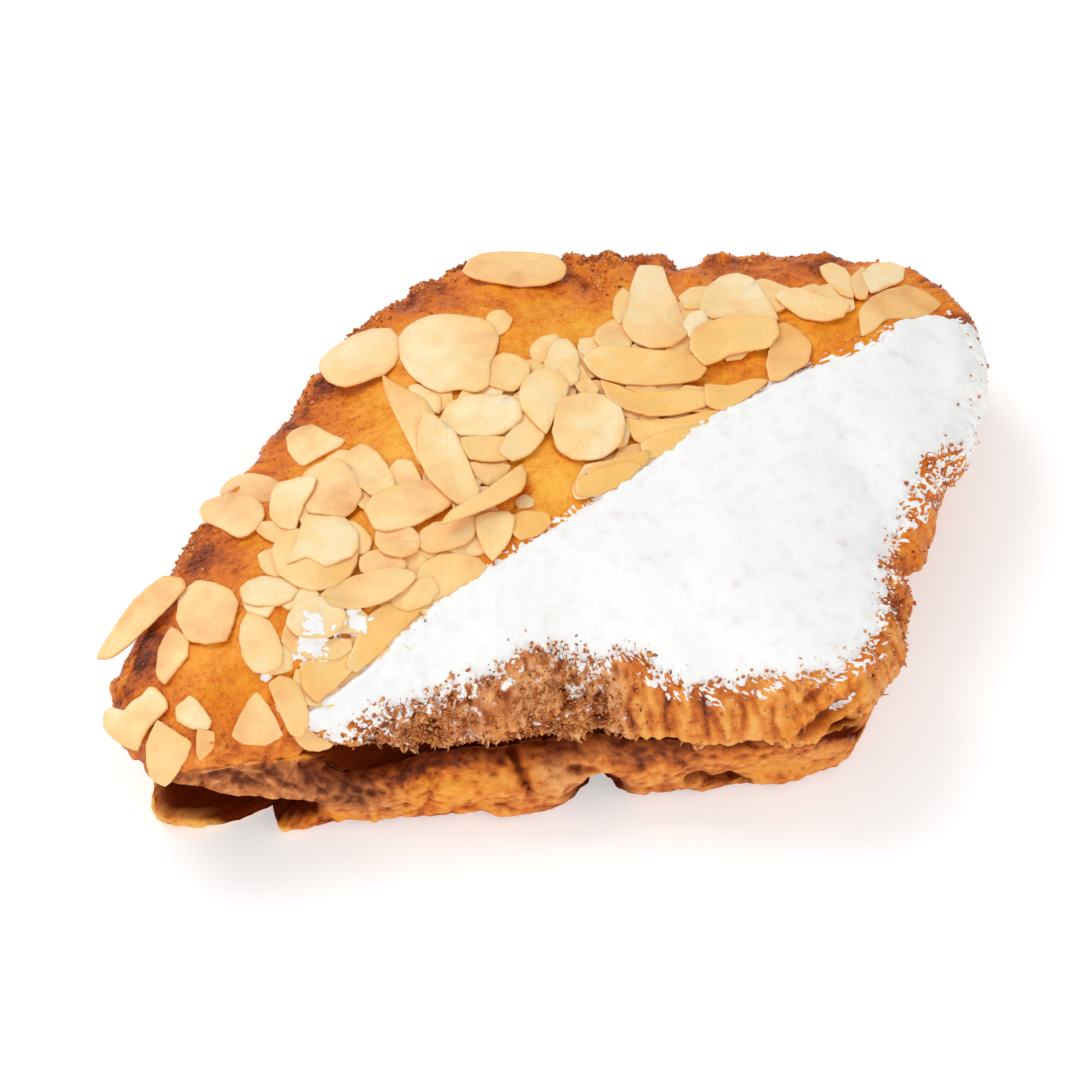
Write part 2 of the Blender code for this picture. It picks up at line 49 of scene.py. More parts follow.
form = {
    "hub": (4.0, 2.0),            # plan point that every ring runs round
    "planShift": (-3.0, -3.2),    # brings the middle of the bounding box to the origin
    "crown": 32.5,                # height of the level middle of the top
    "shoulder": 23.5,             # height where the rim turns into the top
    "domeRun": 38.0,              # distance from the rim to the level middle
    "split": 15.0,                # height of the cut in the middle
    "splitDepth": 10.0,           # how far in the two halves stand open
    "gap": 0.3,                   # clearance between the halves
    "crustWaves": ((0.9, 0.0, 13.0), (0.5, 9.0, 5.0)),      # height, offset, size of its unevenness
    "seamWidth": 3.0,
    "seamDepth": 0.6,             # depth of a seam on top, as a share of that at the rim
    "seamLeast": 0.25,            # share of that depth left in the middle
    "seamFade": 9.0,              # distance in over which a seam grows shallow
    "rimSteps": 24,               # points between two rows of the rim
    "rimWave": 7.0,               # size and height of the rim's unevenness
    "upperUneven": 0.9,
    "lowerUneven": 1.2,
}

# x, y, upper half's lower edge, lower half's upper edge, set-in of the lower half, shoulder, hollow
rimRows = (
    (-72, -44, 18.0, 17.3, 6.0, 3.0, 4.0),
    (-66, -53, 18.5, 17.8, 0.5, 2.5, 9.0),
    (-56, -54, 19.0, 18.4, -1.5, 2.5, 10.0),
    (-47, -52.5, 19.0, 18.4, -2.0, 3.0, 7.0),
    (-39, -50, 18.5, 17.2, -4.0, 4.0, 4.0),
    (-34, -49, 18.5, 11.0, -3.8, 4.0, 1.0),
    (-27, -48.5, 18.2, 11.3, -3.6, 5.0, 0.0),
    (-20, -48, 17.8, 14.0, -3.6, 7.0, 0.0),
    (-10, -47, 17.5, 15.3, -4.6, 8.0, 0.0),
    (0, -45.5, 17.2, 15.4, -5.4, 9.0, 0.0),
    (12, -45, 17.0, 15.4, -4.3, 9.0, 0.0),
    (28, -47, 16.7, 15.3, 0.3, 7.0, 0.0),
    (44, -47, 16.7, 15.0, 2.6, 6.0, 1.0),
    (56, -41, 18.5, 14.0, 2.5, 5.0, 0.0),
    (62, -30, 17.5, 15.5, 3.5, 4.0, 0.0),
    (64, -20, 17.5, 16.6, 4.0, 4.0, 0.0),
    (69.5, 0, 16.5, 14.5, 4.0, 4.0, 0.0),
    (77.5, 17, 17.0, 16.2, 4.0, 4.0, 0.0),
    (82, 37, 18.0, 15.5, 4.0, 4.0, 0.0),
    (77.5, 51.5, 17.5, 16.8, 4.0, 4.5, 0.0),
    (66, 61, 17.0, 14.5, 4.0, 4.0, 3.0),
    (40, 63, 18.5, 17.6, 3.5, 3.5, 0.0),
    (10, 62, 18.0, 15.5, 3.5, 3.0, 0.0),
    (-14, 61, 17.5, 14.5, 3.5, 3.0, 2.0),
    (-30, 49, 17.5, 16.8, 3.5, 3.5, 0.0),
    (-41, 33, 18.5, 16.0, 3.5, 4.0, 0.0),
    (-51, 13, 17.0, 16.2, 4.0, 4.0, 2.0),
    (-61, -5, 16.5, 14.0, 4.0, 4.0, 0.0),
    (-69, -26, 17.5, 16.7, 4.0, 3.5, 0.0),
)

# both ends of each seam between turns of the dough, and its depth at the rim
seams = (
    ((-50, -53), (-66, -16), 0.8),
    ((-20, -48), (-59, -1), 1.0),
    ((10, -44), (-45, 26), 1.3),
    ((36, -46), (-20, 57), 1.2),
    ((64, -12.5), (28, 62), 3.2),
    ((76, 8.5), (62, 62), 1.6),
)

# clefts under the lower half's side, and feet (negative) that stand out: place, depth, half width
clefts = (
    ((-51, -54), 9.4, 3.0),
    ((-40, -50.5), -2.2, 4.5),
    ((-59, -54), -1.0, 6.0),
    ((10.0, -44), 9.0, 3.4),
    ((64, -12.5), 3.0, 4.0),
    ((28, 62), 3.0, 4.0),
    ((-45, 26), 2.5, 4.0),
)
cleftTop, cleftFull = 0.68, 0.25      # shares of the edge height between which a cleft fades out

# side of the lower half, from its edge down: share of the edge height, distance in, share of the hollow's
# depth, share by which it draws back to the upper rim, share of the hollow's extra rise
baseProfile = (
    (1.0, 1.0, 0.0, 0.85, 0.0), (0.88, 0.2, 0.0, 0.6, 0.2), (0.66, 0.0, 0.0, 0.1, 1.0),
    (0.6, 0.3, 0.9, 0.0, 1.0), (0.24, 0.6, 1.0, 0.0, 0.0), (0.17, 0.5, 0.1, 0.0, 0.0),
    (0.08, 1.1, 0.0, 0.0, 0.0), (0.0, 3.0, 0.0, 0.0, 0.0),
)
hollowRise = ((-63, -53), 0.22, 7.5)     # place where the hollow is higher, by what share, half width

# edge of the icing sugar in plan
sugarEdge = (
    (-40, -48), (-31, -48), (-22, -45), (-14, -43), (-7, -41), (-2, -36), (5, -37), (11, -38),
    (17, -36), (20, -40), (30, -41), (44, -41), (52, -38), (57, -32), (60, -23), (61, -12),
    (65, -3), (71, 6), (77, 16), (81, 26), (80, 37), (75, 43), (66, 40), (60, 32), (54, 28),
    (45, 23), (36, 17), (28, 11), (20, 3), (10, -6), (0, -14), (-9, -21), (-19, -29), (-30, -40),
)

# stretches in plan, each between soft rises: direction, and where the rise starts and ends
leftward, rightward, backward, forward = (-1, 0), (1, 0), (0, 1), (0, -1)
stretches = {
    "flakyFront": ((forward, 34.0, 42.0), (rightward, -36.0, -26.0)),
    "shardFront": ((forward, 24.0, 36.0), (rightward, -32.0, -22.0)),
    "burntBack": ((backward, 30.0, 42.0),),
    "burntLeft": ((leftward, 15.0, 25.0), (backward, -34.0, -24.0)),
    "powderedRim": ((rightward, 70.0, 75.0), (backward, 12.0, 20.0), (forward, -47.0, -40.0)),
    "smoothLeft": ((leftward, 24.0, 30.0),),
    "calmLeft": ((leftward, 24.0, 31.0),),
    "crumbledFront": ((forward, 33.0, 38.0), (rightward, -27.0, -20.0)),
    "lessCrumbled": ((rightward, 8.0, 15.0),),
    "crumbledRight": ((rightward, 50.0, 57.0), (forward, -26.0, -18.0)),
    "pleatedSugar": ((rightward, 8.0, 15.0), (forward, 18.0, 24.0)),
    "sugarTongue": ((forward, 30.0, 36.0),),
    "strandedLeft": ((leftward, 16.0, 26.0),),
    "paintedShadeUnderTop": ((rightward, -30.0, -20.0),),
}


# Form shared by all the pieces

def softStep(value, low, high):  # 0 up to low, 1 from high on, and a soft rise between them
    share = np.clip((value - low) / (high - low), 0.0, 1.0)
    return share * share * (3.0 - 2.0 * share)


def within(name, x, y, share=1.0):  # the share inside a stretch, fading to 0 outside
    for (dx, dy), low, high in stretches[name]:
        share = share * softStep(dx * x + dy * y, low, high)
    return share


def bell(distance, width):  # 1 at no distance, fading over the width
    return np.exp(-(distance / width) ** 2)


def closedCurve(rows, steps):  # smooth curve through the first two values of each row
    points = np.array(rows, dtype=float)
    count = len(points)
    curve = []
    for i in range(count):
        before, start, end, after = (points[(i + k) % count] for k in (-1, 0, 1, 2))
        for t in np.arange(steps) / steps:
            curve.append(0.5 * (2 * start + (end - before) * t
                                + (2 * before - 5 * start + 4 * end - after) * t * t
                                + (3 * start - before - 3 * end + after) * t ** 3))
    return np.array(curve)


def overPlaces(measure, x, y, z, scale):  # a measure of every place, with features of scale millimetres
    places = np.broadcast_arrays(x, y, z)
    flat = [part.ravel() / scale for part in places]
    return np.array([measure(Vector(point)) for point in zip(*flat)]).reshape(places[0].shape)


noiseAt = partial(overPlaces, noise.noise)                              # smooth noise
cellsAt = partial(overPlaces, lambda point: noise.voronoi(point)[0][0])     # distance to scattered points


def directionOf(x, y):
    return np.arctan2(y - form["hub"][1], x - form["hub"][0])


def distanceAlong(angle, place, radius):  # along the rim, from a place to the direction of angle
    return np.abs((angle - directionOf(*place) + math.pi) % fullTurn - math.pi) * radius


def makeRimTable():
    curve = closedCurve(rimRows, form["rimSteps"])
    angles = np.unwrap(directionOf(curve[:, 0], curve[:, 1]))
    radii = np.hypot(curve[:, 0] - form["hub"][0], curve[:, 1] - form["hub"][1])
    slant = radii / np.hypot(radii, np.gradient(radii, angles))
    upper, lower = radii.copy(), radii - curve[:, 4] / slant
    ringX, ringY = (turn(angles) * radii / form["rimWave"] for turn in (np.cos, np.sin))
    upper += form["upperUneven"] * noiseAt(ringX, ringY, 0.0, 1.0)
    lower += form["lowerUneven"] * noiseAt(ringX * 0.6, ringY * 0.6, 5.0, 1.0)
    for front, back, depth in seams:
        for place in (front, back):
            upper -= depth * bell(distanceAlong(angles, place, radii), form["seamWidth"])
    cleft = sum(depth * np.exp(-distanceAlong(angles, place, radii) / halfWidth)
                for place, depth, halfWidth in clefts)
    place, share, halfWidth = hollowRise
    rise = share * np.exp(-(distanceAlong(angles, place, radii) / halfWidth) ** 4)
    return {"angle": angles, "upper": upper, "lower": lower, "slant": slant, "cleft": cleft, "rise": rise,
            "under": curve[:, 2], "over": curve[:, 3], "shoulder": curve[:, 5],
            "hollow": np.maximum(curve[:, 6], 0.0)}


rimTable = makeRimTable()


def rimAt(angle):
    return {name: np.interp(angle, rimTable["angle"], column, period=fullTurn)
            for name, column in rimTable.items() if name != "angle"}


def sectorAngles(count):  # evenly spaced along the rim
    x, y = (rimTable["upper"] * turn(rimTable["angle"]) for turn in (np.cos, np.sin))
    length = np.concatenate(([0.0], np.cumsum(np.hypot(np.diff(x), np.diff(y)))))
    return np.interp(np.arange(count) / count * length[-1], length, rimTable["angle"])


def seamGroove(x, y, inset):
    depth = np.zeros_like(x)
    for front, back, rimDepth in seams:
        along = Vector((back[0] - front[0], back[1] - front[1])).normalized()
        across = (x - front[0]) * along.y - (y - front[1]) * along.x
        depth += form["seamDepth"] * rimDepth * bell(across, form["seamWidth"])
    least = form["seamLeast"]
    return depth * (least + (1.0 - least) * np.exp(-inset / form["seamFade"]))


def crustHeight(x, y, inset, rim):
    turn = np.sqrt(1.0 - (1.0 - np.clip(inset / rim["shoulder"], 0.0, 1.0)) ** 2)
    level = 1.0 - (1.0 - np.minimum(inset / form["domeRun"], 1.0)) ** 2
    height = rim["under"] + (form["shoulder"] - rim["under"]) * turn
    height = height + (form["crown"] - form["shoulder"]) * level
    uneven = sum(high * noiseAt(x, y, offset, size) for high, offset, size in form["crustWaves"])
    return height + turn * (uneven - seamGroove(x, y, inset))


def insetAt(x, y):  # distance in from the upper half's rim, and the rim there
    rim = rimAt(directionOf(x, y))
    reach = np.hypot(x - form["hub"][0], y - form["hub"][1])
    return (rim["upper"] - reach) * rim["slant"], rim


def opening(inset, rim):  # middle height and half height of the opening between the two halves
    near = softStep(inset, 0.0, form["splitDepth"])
    inner = softStep(inset, 0.0, form["domeRun"])
    middle = (rim["under"] + rim["over"]) / 2.0
    half = (rim["under"] - rim["over"]) / 2.0
    halfGap = form["gap"] / 2.0
    return middle + (form["split"] - middle) * inner, halfGap + (half - halfGap) * (1.0 - near)


def fromHub(angle, reach):
    return form["hub"][0] + reach * np.cos(angle), form["hub"][1] + reach * np.sin(angle)


def planPoint(angle, inset, rim):  # a distance in from the upper half's rim
    return fromHub(angle, rim["upper"] - inset / rim["slant"])


def sideRadius(rim, drawnBack):  # lower half's side, drawn back to the upper rim where it stands out
    return rim["lower"] - np.maximum(rim["lower"] - rim["upper"], 0.0) * drawnBack


def rowsInwards(angles, steps, outermost):  # coarser rows from a distance in to the hub
    for share, step in steps:
        turned = angles[::step]
        rim = rimAt(turned)
        middle = rim["upper"] * rim["slant"]
        yield turned, rim, middle - (middle - outermost) * share


# Mesh making

def stitch(inner, outer):  # faces between two rings, the outer one with as many or more points
    ratio = len(outer) // len(inner)
    faces = []
    for i, near in enumerate(inner):
        after = inner[(i + 1) % len(inner)]
        rim = [outer[(i * ratio + k) % len(outer)] for k in range(ratio + 1)]
        if ratio == 1:
            faces.append((near, rim[0], rim[1], after))
        else:
            faces += [(near, rim[0], rim[1]), (near, rim[1], after), (after, rim[1], rim[2])]
    return faces


def ringFaces(rings, tips):  # rings are arrays of points, the two tips close the ends
    faces, loops, start = [], [], 0
    for ring in rings:
        loops.append(list(range(start, start + len(ring))))
        start += len(ring)
    for first, second in zip(loops, loops[1:]):
        if len(first) <= len(second):
            faces += stitch(first, second)
        else:
            faces += [face[::-1] for face in stitch(second, first)]
    for tip, loop, turn in ((start, loops[0], 1), (start + 1, loops[-1], -1)):
        faces += [(tip, *(loop[i], loop[(i + 1) % len(loop)])[::turn]) for i in range(len(loop))]
    return np.concatenate([*rings, np.array(tips)]), faces


def pointNormals(points, faces):
    normals = np.zeros_like(points)
    for size in (3, 4):
        group = np.array([face for face in faces if len(face) == size])
        if len(group):
            a, b, c, d = (points[group[:, k]] for k in (0, 1, 2, -1))
            flat = np.cross(c - a, d - b) if size == 4 else np.cross(b - a, c - a)
            for k in range(size):
                np.add.at(normals, group[:, k], flat)
    return normals / np.maximum(np.linalg.norm(normals, axis=1, keepdims=True), 1e-9)


def clipped(layers):
    return {name: np.clip(values, 0.0, 1.0) for name, values in layers.items()}


def addPiece(name, points, faces, material, layers=None):
    mesh = bpy.data.meshes.new(name)
    shift = np.array([*form["planShift"], 0.0])
    mesh.from_pydata(((points + shift) * millimetre).tolist(), [], faces)
    for layer, values in (layers or {}).items():
        attribute = mesh.attributes.new(layer, "FLOAT", "POINT")
        attribute.data.foreach_set("value", np.asarray(values, dtype=np.float32))
    mesh.shade_smooth()
    mesh.materials.append(material)
    piece = bpy.data.objects.new(name, mesh)
    bpy.context.scene.collection.objects.link(piece)
    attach(piece, "root")
    return piece


# Shader node helpers

def feed(tree, value, socket):  # links a node's output to the socket, or sets the socket
    if isinstance(value, bpy.types.NodeSocket):
        tree.links.new(value, socket)
    else:
        socket.default_value = value


def feedAll(tree, node, inputs):
    for name, value in inputs.items():
        feed(tree, value, node.inputs[name])


def addNode(tree, kind, inputs, **settings):
    node = tree.nodes.new(kind)
    for name, value in settings.items():
        setattr(node, name, value)
    feedAll(tree, node, inputs)
    return node


def addMath(tree, operation, a, b, clamp=False):
    return addNode(tree, "ShaderNodeMath", {0: a, 1: b}, operation=operation, use_clamp=clamp).outputs[0]


def nodeMaths(tree):  # plus, minus, times and power, each made of a Math node in the tree
    return [partial(addMath, tree, operation) for operation in ("ADD", "SUBTRACT", "MULTIPLY", "POWER")]


def addNoise(tree, scale, detail, roughness=0.5):
    place = addNode(tree, "ShaderNodeTexCoord", {}).outputs["Object"]
    return addNode(tree, "ShaderNodeTexNoise", {"Vector": place, "Scale": scale, "Detail": detail,
                                                "Roughness": roughness}).outputs[0]


def addBump(tree, strength, distance, height):
    return addNode(tree, "ShaderNodeBump", {"Strength": strength, "Distance": distance,
                                            "Height": height}).outputs["Normal"]


def mixColour(tree, share, first, second):
    node = addNode(tree, "ShaderNodeMix", {}, data_type="RGBA")
    for name, value in (("Factor", share), ("A", first), ("B", second)):
        socket = next(s for s in node.inputs if s.name == name and s.enabled)
        feed(tree, (*value, 1.0) if isinstance(value, tuple) else value, socket)
    return next(s for s in node.outputs if s.enabled)


def colourRamp(tree, value, stops, colours):  # each stop: place, name of its colour
    node = addNode(tree, "ShaderNodeValToRGB", {0: value})
    elements = node.color_ramp.elements
    while len(elements) < len(stops):
        elements.new(0.5)
    for element, (place, name) in zip(elements, stops):
        element.position = place
        element.color = (*colours[name], 1.0)
    return node.outputs[0]


def newGroup(name, inputs, outputs):  # inputs: numbers and their usual values; outputs: their kinds
    tree = bpy.data.node_groups.new(name, "ShaderNodeTree")
    for label, value in inputs.items():
        tree.interface.new_socket(label, in_out="INPUT", socket_type="NodeSocketFloat").default_value = value
    for label, kind in outputs.items():
        tree.interface.new_socket(label, in_out="OUTPUT", socket_type="NodeSocket" + kind)
    return tree, tree.nodes.new("NodeGroupInput"), tree.nodes.new("NodeGroupOutput")


def newMaterial(name):
    material = bpy.data.materials.new(name)
    material.use_nodes = True
    tree = material.node_tree
    return material, tree, tree.nodes["Principled BSDF"]


def readLayers(tree, *names):
    return [addNode(tree, "ShaderNodeAttribute", {}, attribute_name=name).outputs["Fac"] for name in names]


def fromScreen(red, green, blue):  # a colour as seen on screen, in linear light
    return tuple(c / 12.92 if c <= 0.04045 else ((c + 0.055) / 1.055) ** 2.4
                 for c in (red / 255, green / 255, blue / 255))


# Baked dough

bakeColours = {
    "honey": fromScreen(246, 180, 64),
    "amber": fromScreen(237, 146, 28),
    "orange": fromScreen(217, 109, 12),
    "brown": fromScreen(154, 64, 6),
    "dark": fromScreen(87, 31, 3),
    "dryPale": fromScreen(238, 178, 122),
    "dryMiddle": fromScreen(194, 114, 64),
    "dryDeep": fromScreen(110, 54, 27),
    # dark colour painted as shade where the depth layer is set: in the cut, hollows, creases and pits
    "depth": fromScreen(88, 27, 5),
    "sugar": fromScreen(250, 249, 246),
}

bakedDough = {
    "broad": (130.0, 3.0),           # scale and detail of each noise
    "small": (620.0, 5.0, 0.65),
    "grain": (2300.0, 3.0),
    "poreScale": 950.0,
    "poreSize": 0.36,
    "poreEdge": 3.2,
    "wetStops": ((0.0, "honey"), (0.3, "amber"), (0.55, "orange"), (0.8, "brown"), (1.0, "dark")),
    "dryStops": ((0.1, "dryPale"), (0.5, "dryMiddle"), (0.9, "dryDeep")),
    "tones": (0.6, 0.22, 0.75, 0.4),     # what broad, pores, small and grain do to the tone; the pores darken, painted shade in them
    "dryCalm": 0.5,                  # how far dry dough is less mottled
    "dustEdge": 6.0,
    "roughness": (0.3, 0.3, 0.3),    # of wet dough, more where dry, more by the small noise
    "relief": (0.8, 0.3, 0.5),       # of the small noise, the grain and the pores
    "reliefDepth": 0.0006,
    "specular": 0.22,
    "fixed": {"Coat Roughness": 0.3, "Subsurface Weight": 0.06, "Subsurface Radius": (1.0, 0.45, 0.2),
              "Subsurface Scale": 0.0015},
}


def makeBakeGroup():  # colour, gloss and fine relief of baked dough
    tree, source, result = newGroup(
        "bakedDough", {"Tone": 0.4, "Dry": 0.0, "Depth": 0.0, "Dust": 0.0, "Mottle": 1.0},
        {"Colour": "Color", "Roughness": "Float", "Height": "Float"})
    tone, dry, depth, dust, mottle = source.outputs[:5]
    plus, minus, times, _ = nodeMaths(tree)
    broad, small, grain = (addNoise(tree, *bakedDough[name]) for name in ("broad", "small", "grain"))
    place = addNode(tree, "ShaderNodeTexCoord", {}).outputs["Object"]
    pores = addNode(tree, "ShaderNodeTexVoronoi", {"Vector": place, "Scale": bakedDough["poreScale"]})
    pit = times(minus(bakedDough["poreSize"], pores.outputs["Distance"]), bakedDough["poreEdge"], clamp=True)
    pit = times(pit, times(minus(broad, 0.34), bakedDough["poreEdge"], clamp=True))
    byBroad, byPores, bySmall, byGrain = bakedDough["tones"]
    drift = plus(times(minus(broad, 0.5), byBroad), times(pit, byPores))
    fleck = plus(times(minus(small, 0.5), bySmall), times(minus(grain, 0.5), byGrain))
    calm = minus(1.0, times(dry, bakedDough["dryCalm"]))
    baked = plus(tone, times(plus(drift, fleck), times(mottle, calm)), clamp=True)
    colour = mixColour(tree, dry, colourRamp(tree, baked, bakedDough["wetStops"], bakeColours),
                       colourRamp(tree, baked, bakedDough["dryStops"], bakeColours))
    # painted shade: the depth layer mixes in the dark colour
    colour = mixColour(tree, depth, colour, bakeColours["depth"])
    powder = times(plus(dust, minus(small, 0.85)), bakedDough["dustEdge"], clamp=True)
    wetRough, dryRough, smallRough = bakedDough["roughness"]
    bySmall, byGrain, byPores = bakedDough["relief"]
    feedAll(tree, result, {
        "Colour": mixColour(tree, powder, colour, bakeColours["sugar"]),
        "Roughness": plus(plus(times(dry, dryRough), times(small, smallRough)), wetRough, clamp=True),
        "Height": minus(plus(times(small, bySmall), times(grain, byGrain)), times(pit, byPores))})
    return tree


bakeGroup = makeBakeGroup()

bakedFinishes = {
    "bakedCrust": {"mottle": 1.0, "bump": 0.7, "coat": 0.05},
    "bakedSide": {"mottle": 0.7, "bump": 0.8, "coat": 0.0},
}


def makeBakedMaterial(name):
    finish = bakedFinishes[name]
    material, tree, shader = newMaterial(name)
    _, minus, times, _ = nodeMaths(tree)
    tone, dry, depth, dust = readLayers(tree, "tone", "dry", "depth", "dust")
    dough = addNode(tree, "ShaderNodeGroup", {"Tone": tone, "Dry": dry, "Depth": depth, "Dust": dust,
                                              "Mottle": finish["mottle"]}, node_tree=bakeGroup)
    feedAll(tree, shader, {
        "Base Color": dough.outputs["Colour"],
        "Roughness": dough.outputs["Roughness"],
        "Normal": addBump(tree, finish["bump"], bakedDough["reliefDepth"], dough.outputs["Height"]),
        # less reflection where shade is painted
        "Specular IOR Level": times(minus(1.0, depth, clamp=True), bakedDough["specular"]),
        "Coat Weight": finish["coat"],
        **bakedDough["fixed"]})
    return material


# Camera at the photograph's viewing angle

camera = {"elevation": 50.0, "distance": 620.0, "aim": (0.0, 0.0, 14.0), "lens": 116.3, "sensor": 36.0,
          "picture": 1080}
focal = camera["lens"] / camera["sensor"] * camera["picture"]     # in pixels of the picture
pictureMiddle = camera["picture"] / 2.0


def cameraAxes():
    tilt = math.radians(camera["elevation"])
    ahead = np.array([0.0, math.cos(tilt), -math.sin(tilt)])
    upward = np.array([0.0, math.sin(tilt), math.cos(tilt)])
    return np.array(camera["aim"]) - ahead * camera["distance"], ahead, upward


sightPlace, sightAhead, sightUpward = cameraAxes()


def addCamera():
    data = bpy.data.cameras.new("camera")
    data.lens = camera["lens"]
    data.sensor_width = camera["sensor"]
    holder = bpy.data.objects.new("camera", data)
    holder.location = (Vector(sightPlace) + Vector((*form["planShift"], 0.0))) * millimetre
    holder.rotation_euler = (math.radians(90.0 - camera["elevation"]), 0.0, 0.0)
    bpy.context.scene.collection.objects.link(holder)
    bpy.context.scene.camera = holder


def ontoPlane(pixels, plane):  # where sight lines through the picture meet z = a + b x + c y
    pixels = np.asarray(pixels, dtype=float)
    lines = sightAhead + np.outer((pictureMiddle - pixels[:, 1]) / focal, sightUpward)
    lines[:, 0] += (pixels[:, 0] - pictureMiddle) / focal
    a, b, c = plane
    rise = a + b * sightPlace[0] + c * sightPlace[1] - sightPlace[2]
    travel = rise / (lines[:, 2] - b * lines[:, 0] - c * lines[:, 1])
    return (sightPlace + lines * travel[:, None])[:, :2]


def intoPicture(x, y, z):  # where points are seen in the picture
    offset = np.stack([x, y, z], axis=-1) - sightPlace
    far = offset @ sightAhead
    return pictureMiddle + focal * offset[..., 0] / far, pictureMiddle - focal * (offset @ sightUpward) / far


def seenAt(normals):  # 1 where the photo shows a surface, 0 where it faces away
    return softStep(-(normals @ sightAhead), 0.0, 0.3)


# Height of whatever lies on top, kept on a plan grid as toppings are laid

surface = {"step": 0.5, "low": (-80.0, -64.0), "high": (96.0, 74.0),
           "covered": 0.3,     # height over the bare crust that counts as covered
           "border": 0.9}      # how far the border of what is covered is softened
mapX, mapY = np.meshgrid(*(np.arange(surface["low"][k], surface["high"][k], surface["step"]) for k in (0, 1)),
                         indexing="ij")
mapInset, mapRim = insetAt(mapX, mapY)
heightMap = crustHeight(mapX, mapY, np.maximum(mapInset, 0.0), mapRim)
bareHeight = heightMap.copy()
fourWays = ((1, 0), (0, 1), (-1, 0), (0, -1))


def sampleMap(field, x, y):
    u = np.clip((x - surface["low"][0]) / surface["step"], 0.0, field.shape[0] - 1.001)
    v = np.clip((y - surface["low"][1]) / surface["step"], 0.0, field.shape[1] - 1.001)
    i, j = u.astype(int), v.astype(int)
    u, v = u - i, v - j
    return ((field[i, j] * (1 - u) + field[i + 1, j] * u) * (1 - v)
            + (field[i, j + 1] * (1 - u) + field[i + 1, j + 1] * u) * v)


def spreadSample(field, x, y, spread):  # mean of a place and of four round it
    return sum(sampleMap(field, x + dx * spread, y + dy * spread) for dx, dy in ((0, 0), *fourWays)) / 5.0


def softSample(x, y, spread):
    return spreadSample(heightMap, x, y, spread)


def bareAt(x, y):  # 1 where nothing covers the crust, 0 under a flake
    covered = heightMap - bareHeight > surface["covered"]
    return 1.0 - spreadSample(covered * 1.0, x, y, surface["border"])


def mapWindow(outline, margin=0.0):
    ends = []
    for k in (0, 1):
        low = int((outline[:, k].min() - margin - surface["low"][k]) / surface["step"])
        high = int((outline[:, k].max() + margin - surface["low"][k]) / surface["step"]) + 2
        ends.append(slice(max(low, 0), min(high, heightMap.shape[k])))
    return tuple(ends)


def lineDistance(x, y, start, end):  # distance to the straight line between two points
    (ax, ay), (bx, by) = start, end
    span = max((bx - ax) ** 2 + (by - ay) ** 2, 1e-9)
    share = np.clip(((x - ax) * (bx - ax) + (y - ay) * (by - ay)) / span, 0.0, 1.0)
    return np.hypot(x - ax - share * (bx - ax), y - ay - share * (by - ay))


def edgeDistance(x, y, outline):  # distance inside the outline, negative outside
    inside = np.zeros(x.shape, dtype=bool)
    nearest = np.full(x.shape, 1e9)
    for (ax, ay), (bx, by) in zip(outline, np.roll(outline, -1, axis=0)):
        if ay != by:
            inside ^= ((ay > y) != (by > y)) & (x < ax + (y - ay) / (by - ay) * (bx - ax))
        nearest = np.minimum(nearest, lineDistance(x, y, (ax, ay), (bx, by)))
    return np.where(inside, nearest, -nearest)


def ontoTop(px, py):  # plan point where a sight line through the picture meets what lies on top
    x, y = 0.0, 0.0
    for _ in range(6):
        x, y = ontoPlane([(px, py)], (sampleMap(heightMap, np.array(x), np.array(y)).item(), 0.0, 0.0))[0]
    return x, y


# Flaked almonds

flakes = {
    "thickness": 0.65,
    "sink": 0.2,             # how deep a flake lies in the glaze
    "firstHeight": 28.0,     # where the search for a flake's plane starts, and how often it is repeated
    "rounds": 5,
    "steepest": 0.4,         # slope of a flake that bridges the rim
    "rest": 80.0,            # per cent of what lies under a flake that is below its underside
    "follow": 0.6,           # how far a flake gives to what lies under it, and the most it gives
    "give": 1.3,
    "ripple": 0.14,          # height of its ripple, and of the bow of its edge
    "bow": 0.35,
    "clear": 1.1,            # how far at most a flake is raised clear of those under it
    "ceiling": 35.2,         # height above which a heap of flakes is pressed to half
    "outlinePoints": 56,
    "angular": 0.55,         # how far an outline keeps straight between its corners
    "wobble": 0.16,          # unevenness of the outline, and its finer part
    "nicks": 0.1,
    "shade": (0.4, 9.0),     # from side to side of a flake, and over how many millimetres
    "patchy": (0.25, 4.0),   # strength and size of its patches
    "tuckedCorners": 6,
    "straying": 0.25,        # how far a corner of a tucked flake strays, as a share of a side
    "foreshortened": 0.8,    # height of a tucked flake in the picture, as a share of its width
    "seed": 11,              # of the tucked flakes, and the ranges that they are drawn from
    "tuckedSize": (21, 30),
    "tuckedSquash": (0.6, 0.85),
    "tuckedBright": (0.25, 0.8),
    "tuckedGlaze": (0.05, 0.5),
}

